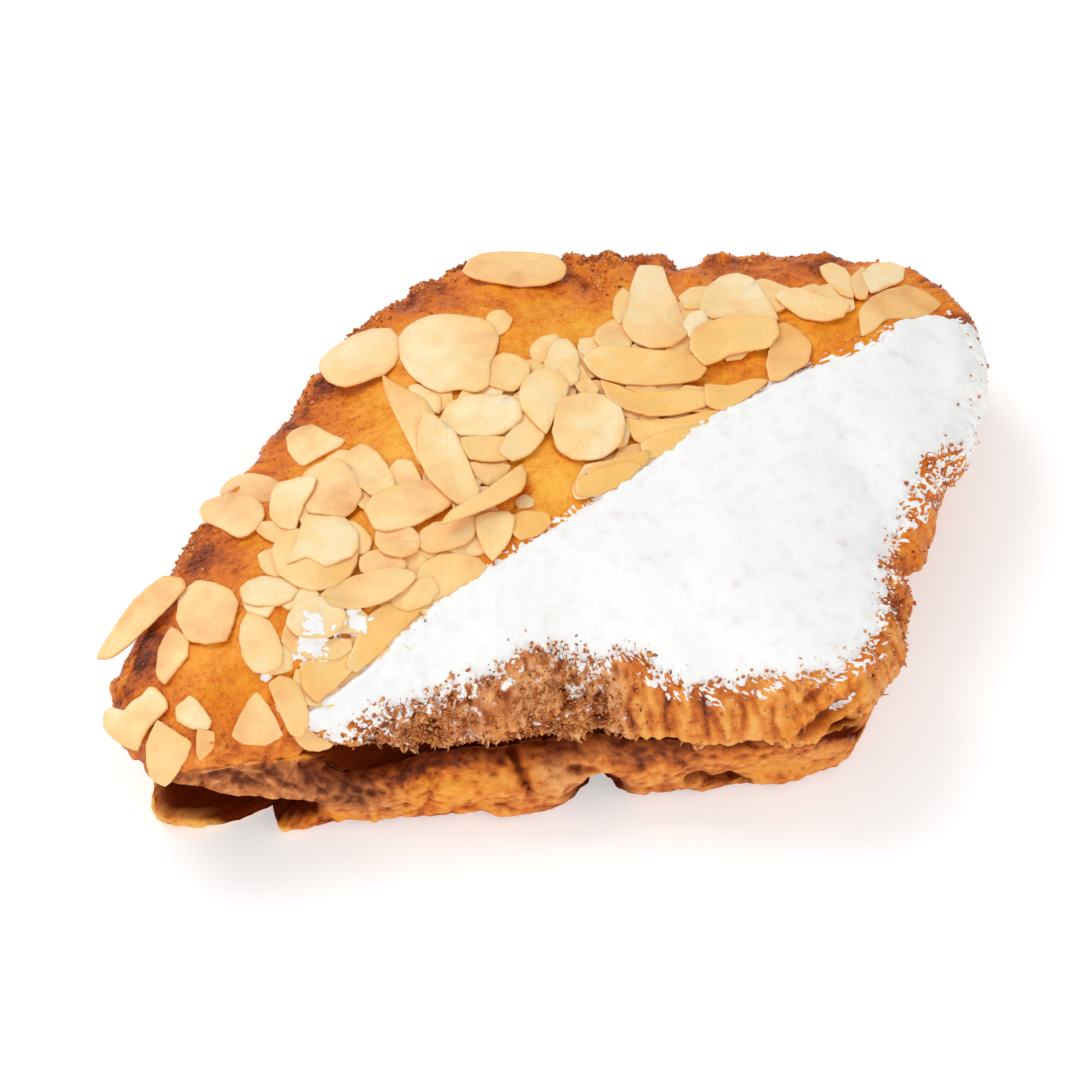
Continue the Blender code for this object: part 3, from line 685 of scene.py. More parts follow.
# Outline of each flake in the picture, lowest first: brightness, glaze, corners.
flakeOutlines = {
    "tailOfLeftFlake": (0.3, 0.3, (172, 628), (190, 640), (189, 656), (176, 672), (165, 684), (157, 676),
        (160, 650)),
    "leftFlake": (0.35, 0.1, (181, 596), (198, 583), (216, 585), (233, 593), (239, 606), (235, 624),
        (227, 641), (205, 646), (188, 643), (177, 622)),
    "leftOval": (0.5, 0.1, (247, 610), (259, 614), (271, 622), (279, 636), (284, 651), (281, 664),
        (268, 671), (253, 670), (243, 659), (239, 640), (240, 624)),
    "leftBright": (1.0, 0.1, (239, 590), (248, 581), (262, 577), (281, 580), (297, 583), (299, 592),
        (292, 601), (277, 606), (257, 607), (245, 603)),
    "tipStrip": (0.3, 0.4, (198, 731), (214, 734), (213, 746), (200, 760), (195, 750)),
    "tipWhite": (0.75, 0.0, (175, 708), (182, 701), (190, 696), (201, 705), (212, 721), (207, 730),
        (190, 729), (177, 722)),
    "tipWide": (0.7, 0.0, (104, 712), (112, 707), (123, 712), (132, 702), (143, 695), (150, 686),
        (157, 687), (167, 698), (168, 708), (160, 717), (150, 727), (143, 740), (138, 750), (127, 748),
        (113, 738), (104, 727)),
    "tipRhombus": (0.45, 0.1, (158, 721), (174, 731), (192, 744), (188, 757), (179, 774), (166, 787),
        (153, 781), (147, 764), (147, 745)),
    "frontTriangle": (0.35, 0.1, (257, 694), (248, 701), (240, 715), (231, 734), (243, 742), (264, 744),
        (283, 734), (277, 722), (268, 706)),
    "frontTail": (0.55, 0.5, (286, 722), (306, 727), (332, 742), (318, 748), (300, 743)),
    "frontLong": (0.4, 0.3, (268, 686), (279, 678), (291, 680), (301, 690), (307, 705), (309, 720),
        (302, 735), (290, 733), (282, 720), (275, 705)),
    "sugarSideLow": (0.45, 0.6, (300, 668), (318, 660), (345, 654), (362, 658), (350, 676), (335, 690),
        (318, 702), (304, 692)),
    "sugarSideLong": (0.35, 0.8, (366, 618), (385, 604), (408, 596), (432, 588), (428, 606), (408, 626),
        (380, 652), (356, 672), (345, 666), (352, 648)),
    "powderedLow": (0.55, 0.3, (297, 640), (315, 641), (335, 638), (351, 641), (352, 652), (338, 660),
        (318, 661), (301, 655)),
    "powdered": (0.8, 0.0, (288, 613), (304, 600), (322, 597), (338, 602), (346, 615), (343, 628),
        (330, 638), (310, 641), (295, 638), (286, 627)),
    "sugarSideWide": (0.45, 0.4, (421, 566), (440, 556), (462, 554), (479, 558), (488, 568), (478, 581),
        (458, 590), (438, 600), (420, 602), (412, 588)),
    "belowLongOval": (0.5, 0.3, (392, 590), (410, 582), (432, 576), (440, 590), (428, 604), (408, 612),
        (392, 606)),
    "aboveLongOval": (0.2, 0.1, (360, 561), (377, 552), (396, 556), (407, 565), (402, 576), (380, 580),
        (361, 575)),
    "longOval": (0.4, 0.1, (320, 598), (332, 587), (350, 577), (372, 572), (396, 570), (412, 573),
        (416, 580), (406, 591), (390, 601), (371, 607), (349, 611), (331, 608)),
    "rimBehind": (0.15, 0.1, (220, 492), (227, 480), (240, 473), (256, 475), (273, 479), (283, 486),
        (279, 498), (262, 503), (240, 500)),
    "rimRound": (0.35, 0.0, (200, 512), (204, 502), (218, 496), (235, 495), (251, 497), (263, 507),
        (266, 517), (259, 528), (250, 535), (238, 538), (222, 531), (207, 524)),
    "peachRight": (0.5, 0.0, (343, 462), (351, 452), (362, 446), (376, 453), (386, 465), (394, 481),
        (396, 490), (384, 500), (371, 498), (360, 489), (350, 473)),
    "peachWide": (0.3, 0.0, (300, 480), (309, 468), (324, 461), (341, 461), (353, 470), (361, 485),
        (363, 497), (356, 509), (344, 519), (325, 517), (308, 515), (302, 500)),
    "rimTriangle": (0.55, 0.0, (287, 438), (297, 430), (312, 425), (322, 430), (335, 437), (346, 441),
        (340, 449), (322, 458), (305, 468), (296, 463), (289, 452)),
    "kite": (0.8, 0.1, (272, 498), (280, 485), (297, 480), (317, 480), (314, 492), (306, 505), (300, 520),
        (296, 533), (281, 531), (271, 520)),
    "underBright": (0.55, 0.6, (271, 550), (279, 536), (295, 529), (330, 538), (357, 545), (358, 560),
        (350, 576), (335, 588), (312, 593), (291, 584), (277, 573)),
    "bright": (1.0, 0.1, (287, 563), (295, 545), (300, 528), (306, 515), (325, 517), (346, 519), (358, 531),
        (359, 548), (352, 556), (338, 562), (325, 567), (307, 559)),
    "middleLow": (0.35, 0.2, (377, 530), (392, 527), (412, 530), (421, 540), (418, 552), (402, 560),
        (384, 556), (375, 545)),
    "middleWide": (0.35, 0.1, (364, 511), (372, 497), (392, 488), (420, 482), (446, 484), (457, 495),
        (450, 507), (432, 518), (414, 528), (392, 533), (375, 531)),
    "middleOval": (0.5, 0.3, (417, 546), (420, 533), (432, 524), (452, 518), (469, 513), (478, 522),
        (475, 537), (462, 547), (445, 552), (428, 554)),
    "syrupFlake": (0.1, 0.9, (512, 517), (528, 513), (548, 516), (552, 526), (538, 537), (520, 542),
        (509, 533)),
    "upright": (0.6, 0.2, (475, 520), (490, 514), (508, 511), (515, 520), (511, 540), (501, 555),
        (492, 563), (483, 551), (477, 535)),
    "tinyOval": (0.8, 0.0, (515, 503), (519, 498), (526, 496), (534, 500), (534, 506), (527, 510),
        (518, 509)),
    "littleTop": (0.55, 0.4, (486, 320), (494, 312), (505, 312), (513, 320), (509, 332), (498, 338),
        (489, 330)),
    "besideWide": (0.45, 0.4, (487, 375), (492, 362), (505, 356), (518, 358), (531, 368), (528, 382),
        (515, 393), (500, 392), (489, 388)),
    "backFlake": (0.75, 0.0, (319, 371), (321, 360), (335, 348), (352, 338), (372, 330), (390, 330),
        (399, 338), (403, 352), (397, 365), (385, 375), (365, 383), (345, 388), (328, 383)),
    "longYellow": (0.45, 0.5, (382, 376), (393, 382), (412, 394), (428, 404), (437, 420), (436, 440),
        (428, 460), (420, 466), (408, 442), (396, 418), (387, 398)),
    "longCream": (0.75, 0.2, (424, 412), (440, 420), (452, 430), (463, 450), (473, 475), (480, 492),
        (476, 508), (458, 506), (444, 496), (428, 480), (418, 458), (418, 432)),
    "widePale": (0.72, 0.05, (399, 338), (410, 325), (430, 317), (455, 316), (479, 318), (493, 325),
        (500, 340), (497, 353), (491, 366), (490, 386), (477, 393), (458, 390), (440, 394), (424, 388),
        (409, 375), (400, 360)),
    "coveredLow": (0.3, 0.3, (469, 464), (490, 463), (511, 465), (505, 478), (488, 487), (476, 480)),
    "coveredMiddle": (0.6, 0.4, (460, 440), (485, 439), (510, 440), (516, 450), (508, 461), (490, 465),
        (469, 461)),
    "curled": (0.7, 0.3, (500, 402), (519, 397), (535, 404), (546, 420), (544, 440), (531, 455), (512, 463),
        (499, 455), (505, 440), (515, 425)),
    "topOval": (0.9, 0.0, (440, 419), (447, 405), (462, 397), (485, 395), (509, 397), (523, 405),
        (521, 420), (505, 432), (485, 438), (462, 438), (447, 431)),
    "standing": (0.65, 0.5, (441, 523), (450, 512), (470, 502), (490, 489), (510, 474), (523, 466),
        (527, 478), (522, 492), (505, 501), (485, 509), (462, 517)),
    "besideNeck": (0.3, 0.5, (579, 366), (588, 379), (599, 392), (594, 402), (579, 394), (571, 378)),
    "neckTop": (0.75, 0.2, (550, 350), (556, 341), (568, 340), (577, 350), (581, 368), (578, 382),
        (562, 390), (547, 384), (544, 366)),
    "neckLow": (0.7, 0.1, (518, 397), (524, 379), (540, 368), (558, 372), (569, 385), (566, 400),
        (556, 416), (546, 433), (533, 422), (522, 411)),
    "roundLeaf": (0.65, 0.0, (556, 416), (564, 401), (585, 395), (604, 397), (621, 409), (626, 425),
        (621, 446), (605, 459), (588, 463), (569, 461), (557, 451), (552, 434)),
    "honeySide": (0.3, 1.0, (586, 472), (606, 462), (630, 455), (654, 450), (642, 470), (620, 482),
        (600, 488)),
    "honeyLow": (0.5, 0.9, (624, 421), (650, 420), (680, 418), (706, 411), (722, 409), (702, 426),
        (680, 440), (655, 448), (634, 440)),
    "honeyMiddle": (0.6, 0.9, (600, 380), (621, 389), (650, 394), (690, 391), (712, 397), (706, 410),
        (680, 416), (650, 418), (625, 413), (606, 400)),
    "honeyWide": (0.7, 0.8, (582, 359), (592, 350), (611, 346), (640, 349), (668, 354), (696, 357),
        (707, 368), (700, 379), (680, 386), (650, 389), (625, 388), (604, 382), (589, 372)),
    "sugarStrip": (0.55, 0.8, (640, 440), (668, 431), (700, 425), (726, 414), (722, 428), (694, 444),
        (668, 456), (645, 458)),
    "sugarStripLow": (0.45, 0.9, (574, 480), (598, 471), (628, 463), (642, 466), (624, 484), (598, 497),
        (577, 496)),
    "hollowSide": (0.5, 0.9, (704, 386), (728, 388), (752, 382), (768, 384), (748, 400), (724, 412),
        (706, 408)),
    "backSlip": (0.6, 0.5, (612, 316), (614, 300), (622, 289), (630, 296), (628, 318), (619, 326)),
    "backUpright": (0.65, 0.1, (639, 268), (662, 267), (668, 281), (676, 300), (683, 320), (688, 336),
        (672, 346), (650, 348), (631, 340), (622, 327), (628, 308), (631, 288)),
    "brownGlazed": (0.0, 0.5, (770, 332), (784, 325), (800, 335), (811, 348), (809, 363), (796, 373),
        (781, 383), (769, 384), (766, 366), (770, 348)),
    "backLarge": (0.75, 0.0, (699, 311), (706, 290), (720, 278), (738, 274), (753, 280), (763, 295),
        (773, 308), (779, 320), (765, 322), (750, 320), (730, 320), (711, 320)),
    "backBright": (1.0, 0.0, (682, 326), (690, 315), (705, 312), (709, 325), (702, 336), (690, 339)),
    "backGlazed": (0.65, 0.7, (689, 352), (691, 335), (702, 325), (725, 318), (755, 317), (776, 321),
        (779, 336), (770, 349), (750, 353), (728, 357), (704, 367)),
    "backCrescent": (0.7, 0.1, (775, 298), (782, 290), (797, 287), (812, 295), (832, 302), (850, 305),
        (843, 318), (822, 322), (802, 319), (785, 309)),
    "farRight": (0.1, 0.4, (858, 312), (868, 299), (885, 290), (905, 285), (925, 293), (941, 305),
        (926, 316), (905, 319), (886, 320), (874, 331), (861, 335)),
    "farOval": (0.5, 0.1, (819, 270), (831, 266), (845, 272), (856, 288), (853, 300), (840, 297),
        (827, 285)),
    "farGlazed": (0.4, 0.7, (850, 281), (862, 270), (869, 285), (866, 301), (855, 299)),
    "farBright": (0.9, 0.0, (861, 276), (872, 265), (890, 262), (904, 268), (903, 282), (886, 289),
        (870, 294)),
    "rearOverhang": (0.3, 0.2, (462, 273), (468, 262), (481, 255), (505, 253), (535, 254), (558, 258),
        (567, 268), (563, 279), (545, 286), (520, 288), (495, 284), (475, 280)),
    "tipOverhang": (0.25, 0.5, (97, 662), (103, 648), (118, 625), (134, 603), (150, 588), (166, 578),
        (182, 580), (186, 590), (166, 613), (149, 630), (129, 648), (113, 660)),
}

# Middles in the picture of the smaller flakes that fill in under the others.
tuckedFlakes = (
    (322, 520), (352, 540), (330, 490), (372, 500), (352, 470), (395, 525), (415, 505), (410, 560),
    (385, 585), (440, 545), (425, 590), (455, 575), (470, 540), (470, 505), (440, 480), (495, 470),
    (460, 450), (480, 430), (520, 430), (500, 400), (545, 410), (440, 395), (465, 370), (530, 380),
    (560, 395), (575, 430), (600, 400), (590, 365), (625, 385), (640, 355), (620, 420), (655, 330),
    (670, 360), (690, 320), (640, 410), (660, 390), (320, 600), (350, 620), (385, 620), (410, 630),
    (440, 610), (370, 655), (340, 680), (315, 690), (300, 600), (285, 565), (275, 535), (310, 565),
    (805, 300), (835, 300), (770, 298), (750, 325), (725, 335), (490, 520), (300, 635),
    (705, 345), (668, 352), (690, 345), (600, 352), (615, 340), (655, 432), (682, 428), (640, 398),
    (700, 402), (612, 468), (632, 458), (592, 484), (605, 432), (545, 350), (535, 405), (480, 400),
    (700, 300), (740, 345), (585, 445), (425, 400), (455, 480), (405, 480), (260, 600), (275, 660),
)

# Slopes of the flakes that overhang or drape over the rim, and how far each is lifted.
flakeLeans = {
    "tipOverhang": (0.12, 0.05, 1.6),
    "backFlake": (0.05, -0.16, 0.9),
    "rearOverhang": (0.0, -0.2, 1.0),
    "tipWide": (0.3, 0.3, 0.7),
    "tipRhombus": (0.25, 0.6, 0.3),
    "standing": (0.1, -0.35, 1.2),
}

flakeRings = ((0.3, 1.0), (0.6, 1.0), (0.8, 1.0), (0.93, 0.98), (0.985, 0.85), (1.0, 0.5), (0.985, 0.12),
              (0.93, 0.0), (0.5, 0.0))   # share of the outline, share of the thickness


def straightCurve(corners, steps):
    corners = np.array(corners, dtype=float)
    shares = (np.arange(steps) / steps)[:, None]
    return np.concatenate([a + (b - a) * shares for a, b in zip(corners, np.roll(corners, -1, axis=0))])


def fitFlake(pixels, name):  # plane that a flake rests in, and its outline in plan
    plane = (flakes["firstHeight"], 0.0, 0.0)
    for _ in range(flakes["rounds"]):
        outline = ontoPlane(pixels, plane)
        window = mapWindow(outline, 3.0)
        x, y = mapX[window], mapY[window]
        margin = np.where(mapInset[window] > 0.4, edgeDistance(x, y, outline), -99.0)
        held = margin > min(0.0, np.sort(margin, axis=None)[-12])
        x, y, height = x[held], y[held], heightMap[window][held]
        table = np.stack([np.ones_like(x), x - x.mean(), y - y.mean()], axis=1)
        _, b, c = np.linalg.lstsq(table, height, rcond=None)[0]
        b, c = np.clip((b, c), -flakes["steepest"], flakes["steepest"])
        lift = 0.0
        if name in flakeLeans:
            b, c, lift = flakeLeans[name]
        a = np.percentile(height - b * x - c * y, flakes["rest"]) - flakes["sink"] + lift
        plane = (a, b, c)
    return plane, ontoPlane(pixels, plane)


def tuckedCorners(index):  # brightness, glaze and corners of a small uneven flake
    draw = random.Random(flakes["seed"] + index)
    px, py = tuckedFlakes[index]
    size, turn = draw.uniform(*flakes["tuckedSize"]), draw.uniform(0, fullTurn)
    squash = draw.uniform(*flakes["tuckedSquash"])
    corners, count, stray = [], flakes["tuckedCorners"], flakes["straying"]
    for k in range(count):
        angle = fullTurn * (k + draw.uniform(-stray, stray)) / count
        along, across = size * math.cos(angle), size * squash * math.sin(angle)
        rise = along * math.sin(turn) + across * math.cos(turn)
        corners.append((px + along * math.cos(turn) - across * math.sin(turn),
                        py + flakes["foreshortened"] * rise))
    return (draw.uniform(*flakes["tuckedBright"]), draw.uniform(*flakes["tuckedGlaze"]), *corners)


def undersideAt(x, y, share, index, plane, follow):  # a flake gives to what lies under it, and ripples
    ground = plane[0] + plane[1] * x + plane[2] * y
    give = follow * np.clip(softSample(x, y, 1.8) - ground, -flakes["give"], flakes["give"])
    bow = flakes["bow"] * math.sin(index * 1.9) * share * share
    return ground + give + (flakes["ripple"] * noiseAt(x, y, index * 5.1, 3.5) + bow)


def shareAt(x, y, outline):  # 0 in the middle of an outline, 1 on it
    spread = outline - outline.mean(axis=0)
    angles = np.arctan2(spread[:, 1], spread[:, 0])
    order = np.argsort(angles)
    away = (x - outline[:, 0].mean(), y - outline[:, 1].mean())
    reach = np.interp(np.arctan2(away[1], away[0]), angles[order], np.hypot(*spread[order].T),
                      period=fullTurn)
    return np.minimum(np.hypot(*away) / reach, 1.0)


def mapUnder(outline, index, plane, follow):  # window of the map, distance inside, height of the underside
    window = mapWindow(outline)
    x, y = mapX[window], mapY[window]
    under = undersideAt(x, y, shareAt(x, y, outline), index, plane, follow)
    return window, edgeDistance(x, y, outline), under


def makeFlake(name, index, bright, glaze, *corners):
    steps = max(3, round(flakes["outlinePoints"] / len(corners)))
    straight = flakes["angular"]
    pixels = (1.0 - straight) * closedCurve(corners, steps) + straight * straightCurve(corners, steps)
    (a, b, c), outline = fitFlake(pixels, name)
    follow = 0.0 if name in flakeLeans else flakes["follow"]
    window, margin, under = mapUnder(outline, index, (a, b, c), follow)
    poke = heightMap[window] - under - 0.7 * flakes["thickness"]
    a += np.clip(poke[margin > 0.4].max(initial=0.0), 0.0, flakes["clear"])
    centre = outline.mean(axis=0)
    upward = np.array([-b, -c, 1.0]) / math.sqrt(1.0 + b * b + c * c)
    wobble = (flakes["wobble"] * noiseAt(*outline.T, index * 3.7, 2.0)
              + flakes["nicks"] * noiseAt(*outline.T, index * 1.3, 0.7))
    spread = outline - centre
    outline = outline + spread / np.linalg.norm(spread, axis=1)[:, None] * wobble[:, None]
    rings, rim, skirt = [], [], []
    for share, rise in (*flakeRings, (0.0, 1.0), (0.0, 0.0)):
        plan = centre + (outline - centre) * share if share else centre[None, :]
        under = undersideAt(*plan.T, share, index, (a, b, c), follow)
        rings.append(np.column_stack([plan, under]) + upward * flakes["thickness"] * rise)
        rim.append(np.full(len(plan), share))
        skirt.append(np.full(len(plan), 1.0 - rise))
    points, faces = ringFaces(rings[:-2], [rings[-2][0], rings[-1][0]])
    points[:, 2] -= 0.5 * np.maximum(points[:, 2] - flakes["ceiling"], 0.0)
    window, margin, under = mapUnder(outline, index, (a, b, c), follow)
    laid = np.maximum(heightMap[window], under + flakes["thickness"])
    heightMap[window] = np.where(margin > 0.0, laid, heightMap[window])
    x, y, _ = points.T
    turn = 2.4 * index
    (strength, width), (patchy, size) = flakes["shade"], flakes["patchy"]
    slope = ((x - centre[0]) * math.cos(turn) + (y - centre[1]) * math.sin(turn)) / width
    shade = strength * slope + patchy * noiseAt(x, y, index * 2.3, size)
    return points, faces, {"rim": np.concatenate(rim), "skirt": np.concatenate(skirt), "shade": shade,
                           "bright": np.full(len(x), bright), "glaze": np.full(len(x), glaze)}


def joinParts(parts):
    points, faces, layers, start = [], [], {}, 0
    for partPoints, partFaces, partLayers in parts:
        points.append(partPoints)
        faces += [tuple(start + k for k in face) for face in partFaces]
        for name, values in partLayers.items():
            layers.setdefault(name, []).append(values)
        start += len(partPoints)
    return np.concatenate(points), faces, {name: np.concatenate(values) for name, values in layers.items()}


almondColours = {
    "tan": fromScreen(228, 160, 94),
    "peach": fromScreen(248, 195, 134),
    "cream": fromScreen(255, 213, 151),
    "pale": fromScreen(255, 227, 182),
    "honey": fromScreen(252, 190, 92),
    "edge": fromScreen(255, 218, 164),
    "syrup": fromScreen(228, 136, 44),
}

almondFinish = {
    "cloud": (240.0, 3.0),           # scale and detail of each noise
    "fibre": (1500.0, 4.0),
    "stops": ((0.0, "tan"), (0.35, "peach"), (0.65, "cream"), (1.0, "pale")),
    "drift": 0.9,                    # what the cloud does to the tone
    "bright": 0.75,
    "stain": 3.5,                    # honey near the edge
    "lip": 0.3,                      # light line along the edge, a painted highlight
    "skirt": 0.85,                   # syrup down the side
    "speck": 1.1,
    "relief": (0.22, 0.0004),        # strength and distance
    "roughness": (0.55, 0.3),        # of a dry slice, less where glazed
    "fixed": {"Subsurface Weight": 0.3, "Subsurface Radius": (1.0, 0.6, 0.3), "Subsurface Scale": 0.0012,
              "Coat Weight": 0.15, "Coat Roughness": 0.25},
}


def makeAlmondMaterial():
    material, tree, shader = newMaterial("almondSlice")
    plus, minus, times, power = nodeMaths(tree)
    rim, skirt, bright, glaze, shade = readLayers(tree, "rim", "skirt", "bright", "glaze", "shade")
    cloud, fibre = (addNoise(tree, *almondFinish[name]) for name in ("cloud", "fibre"))
    drift = plus(times(minus(cloud, 0.5), almondFinish["drift"]), shade)
    blend = plus(times(bright, almondFinish["bright"]), plus(drift, 0.2), clamp=True)
    colour = colourRamp(tree, blend, almondFinish["stops"], almondColours)
    stain = times(power(rim, 5.0), minus(cloud, 0.42))
    for share, name in ((times(glaze, plus(cloud, 0.25), clamp=True), "honey"),
                        (times(stain, almondFinish["stain"], clamp=True), "honey"),
                        (times(power(rim, 20.0), almondFinish["lip"]), "edge"),
                        (times(skirt, almondFinish["skirt"]), "syrup"),
                        (times(minus(fibre, 0.55), almondFinish["speck"], clamp=True), "tan")):
        colour = mixColour(tree, share, colour, almondColours[name])
    dryRough, lessRough = almondFinish["roughness"]
    feedAll(tree, shader, {
        "Base Color": colour,
        "Normal": addBump(tree, *almondFinish["relief"], fibre),
        "Roughness": minus(dryRough, times(glaze, lessRough)),
        **almondFinish["fixed"]})
    return material


def makeFlakes(material):
    parts = [makeFlake("tucked", 100 + index, *tuckedCorners(index)) for index in range(len(tuckedFlakes))]
    parts += [makeFlake(name, index, *flakeOutlines[name]) for index, name in enumerate(flakeOutlines)]
    points, faces, layers = joinParts(parts)
    piece = addPiece("almondFlakes", points, faces, material, layers)
    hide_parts("croissant_top")
    print("almond flakes:", len(parts), "slices,", len(points), "points")


# Marks placed by the picture

def spotsAt(u, v, spots, amount):  # each spot: x, y, width, height, amounts
    total = np.zeros_like(u)
    for px, py, wide, high, *amounts in spots:
        total += amounts[amount] * np.exp(-((u - px) / wide) ** 2 - ((v - py) / high) ** 2)
    return total


def strokesAt(u, v, strokes):  # what all strokes change: height, tone, dryness, depth (painted shade) and dust
    fields = {name: np.zeros_like(u) for name in ("height", "tone", "dry", "depth", "dust")}
    for width, changes, *corners in strokes:
        away = np.minimum.reduce([lineDistance(u, v, *ends) for ends in zip(corners, corners[1:])])
        for name, amount in changes.items():
            fields[name] += amount * bell(away, width)
    return fields


def creases(x, y, z, scale):  # thin grooves, 1 in a groove
    return np.clip(1.0 - np.abs(noiseAt(x, y, z, scale)) * 5.0, 0.0, 1.0)


# Upper half

topHalf = {
    "sectors": 960,
    "innerRings": 70,
    "shoulderRings": 24,
    "lipRings": 10,
    "edgeReach": 3.0,       # how far in from the shoulder the rim's relief runs
    "bandWidth": 2.0,       # how far in its pleats and marks run
    "cragHeight": 1.15,     # relief of the crumbly rim
    "lumpSize": 2.6,
    "bitSize": 1.25,
    "pleatHeight": 0.55,    # upright pleats of the layers at the rim
    "pleatWidth": 3.4,
    "poreDepth": 0.3,
    "poreSpacing": 2.1,
    "lipRagged": 0.6,       # unevenness of the lower edge
    "reliefLimits": (-2.4, 2.0),
    "baseTone": 0.34,       # from 0, honey, to 1, dark brown
    "edgeTone": 0.24,
    # painted highlight on raised crags and painted shade in their hollows
    "cragHighlightAndShade": 0.5,
    "burntTone": 0.26,
}

# crumbly stretches of the rim: place, half width, strength
crumbly = (
    ((4, -44), 15.0, 1.0), ((-22, -48), 18.0, 0.95), ((32, -46), 14.0, 0.25), ((62, -20), 14.0, 0.7),
    ((74, 10), 12.0, 0.6), ((14, 62), 17.0, 1.0), ((-20, 56), 14.0, 0.75), ((45, 63), 16.0, 0.5),
    ((-44, 28), 10.0, 0.8), ((-34, 42), 10.0, 0.8), ((-60, -6), 12.0, 0.7), ((-71, -32), 9.0, 0.7),
    ((-60, -54), 12.0, 0.55),
)

# where the rim's relief runs further in: plan x, y, width, depth, how much further
widerEdges = ((14, 62, 15, 14, 4.0), (-60, -4, 9, 10, 2.5))

# places in the picture where the bare crust is lighter or darker: x, y, width, height, tone; the dark one at
# (145, 648) is painted shadow under the overhanging flake at the left tip
crustPatches = (
    (560, 320, 55, 28, -0.14), (225, 690, 60, 45, -0.02), (228, 563, 26, 22, 0.3), (250, 572, 14, 12, -0.1),
    (310, 400, 34, 26, 0.0), (375, 425, 32, 28, -0.16), (402, 462, 14, 16, -0.25), (480, 300, 55, 14, 0.16),
    (415, 302, 40, 16, 0.14), (545, 284, 40, 16, 0.2), (600, 335, 34, 22, -0.1), (560, 480, 42, 28, -0.36),
    (524, 492, 10, 9, 0.45), (735, 372, 26, 16, 0.1), (765, 270, 60, 18, 0.28), (285, 462, 26, 26, 0.0),
    (120, 690, 20, 20, 0.16), (145, 648, 28, 40, 0.58), (190, 562, 22, 20, 0.1), (700, 300, 24, 16, 0.2),
    (590, 290, 36, 18, 0.24), (330, 360, 26, 14, 0.08), (215, 620, 12, 10, 0.15), (640, 300, 22, 16, -0.1),
)

# pits, dark with painted shade, and raised knobs of the rim in the picture: x, y, width, height, rise
rimKnobs = (
    (586, 281, 8, 7, -2.2), (607, 298, 9, 7, -1.2), (684, 285, 11, 8, -1.3), (562, 291, 9, 6, -0.8),
    (570, 264, 12, 8, 1.0), (610, 264, 14, 8, 1.1), (715, 258, 16, 8, 1.0), (408, 300, 9, 7, -0.9),
    (446, 303, 8, 6, -0.7), (430, 291, 14, 8, 0.8), (395, 318, 12, 8, 0.6), (621, 262, 6, 5, -0.9),
    (540, 668, 26, 14, 1.0), (622, 672, 20, 12, 0.9), (118, 690, 10, 10, 0.9), (136, 694, 9, 9, 0.6),
    (570, 700, 24, 16, 0.6), (455, 705, 22, 12, 0.5), (925, 560, 12, 12, 0.9), (930, 470, 10, 16, 0.7),
)

# streaks and folds of the upper half in the picture: width, what they change, corners; darker grooves and
# lighter ridges paint shade and highlights on the pleats, and depth paints shade in the folds and the hollow
# at the right end
topStrokes = (
    (6.0, {"height": 1.3, "tone": -0.1, "dry": -0.2},
     (786, 732), (806, 714), (830, 694), (850, 676), (866, 660)),
    (3.4, {"height": -1.7, "tone": 0.35, "depth": 0.45}, (800, 737), (822, 719), (842, 702)),
    (3.6, {"height": 1.0, "tone": -0.2, "dry": -0.2}, (812, 738), (834, 719), (856, 702), (866, 684)),
    (4.0, {"height": -0.8, "tone": 0.28}, (806, 700), (826, 682), (842, 668)),
    (5.0, {"tone": -0.3, "height": 0.8}, (795, 700), (812, 686), (826, 676)),
    (1.3, {"dust": 1.2}, (833, 711), (846, 702), (853, 694)),
    (3.4, {"tone": -0.35, "height": 0.4}, (646, 735), (640, 720), (650, 700), (648, 688)),
    (3.4, {"tone": -0.35, "height": 0.4}, (684, 735), (688, 712), (684, 694)),
    (3.0, {"tone": -0.3, "height": 0.3}, (727, 735), (726, 715), (730, 700)),
    (3.0, {"tone": -0.22}, (756, 736), (752, 716)),
    (3.0, {"tone": 0.4, "height": -0.7}, (668, 735), (664, 715), (668, 697)),
    (3.0, {"tone": 0.4, "height": -0.7}, (708, 737), (706, 715), (702, 697)),
    (3.0, {"tone": 0.35, "height": -0.6}, (742, 737), (744, 712), (740, 696)),
    (3.0, {"tone": 0.3, "height": -0.5}, (774, 738), (772, 712), (776, 698)),
    (3.5, {"tone": 0.4, "height": -0.8}, (634, 730), (626, 708), (634, 688)),
    (4.0, {"tone": 0.4, "depth": 0.25, "height": -0.9}, (592, 722), (596, 700), (606, 684)),
    (7.0, {"tone": 0.6, "depth": 1.6, "dry": -0.8, "height": -1.4}, (836, 728), (862, 724)),
    (12.0, {"tone": -0.2, "dry": 0.35}, (894, 630), (882, 695)),
    (12.0, {"tone": -0.1}, (400, 728), (500, 724)),
    (20.0, {"tone": -0.34, "dry": 0.2}, (535, 692), (600, 690)),
)


def crumbleAt(angle, radius):
    strength = np.full_like(angle, 0.3)
    for place, halfWidth, amount in crumbly:
        strength = np.maximum(strength, amount * bell(distanceAlong(angle, place, radius), halfWidth))
    return strength


topCrust, topShoulder, topLip, topCut = 0.0, 1.0, 2.0, 3.0      # zones of the upper half, in to its cut


def topRows(angles):  # each row: its angles, rim sizes, distance in, zone
    rows = []
    for share in np.linspace(0.03, 1.0, topHalf["innerRings"]) ** 0.8:
        step = 8 if share < 0.16 else 4 if share < 0.34 else 2 if share < 0.62 else 1
        rim = rimAt(angles[::step])
        middle = rim["upper"] * rim["slant"]
        rows.append((angles[::step], rim, middle - (middle - rim["shoulder"]) * share, topCrust))
    rim = rimAt(angles)
    for k in range(1, topHalf["shoulderRings"] + 1):
        share = (1.0 - k / topHalf["shoulderRings"]) ** 1.7
        rows.append((angles, rim, rim["shoulder"] * share, topShoulder))
    for k in range(1, topHalf["lipRings"] + 1):
        inset = form["splitDepth"] * (k / topHalf["lipRings"]) ** 1.4
        rows.append((angles, rim, inset + 0.0 * angles, topLip))
    steps = ((0.7, 2), (0.4, 4), (0.15, 8))
    return rows + [(*row, topCut) for row in rowsInwards(angles, steps, form["splitDepth"])]


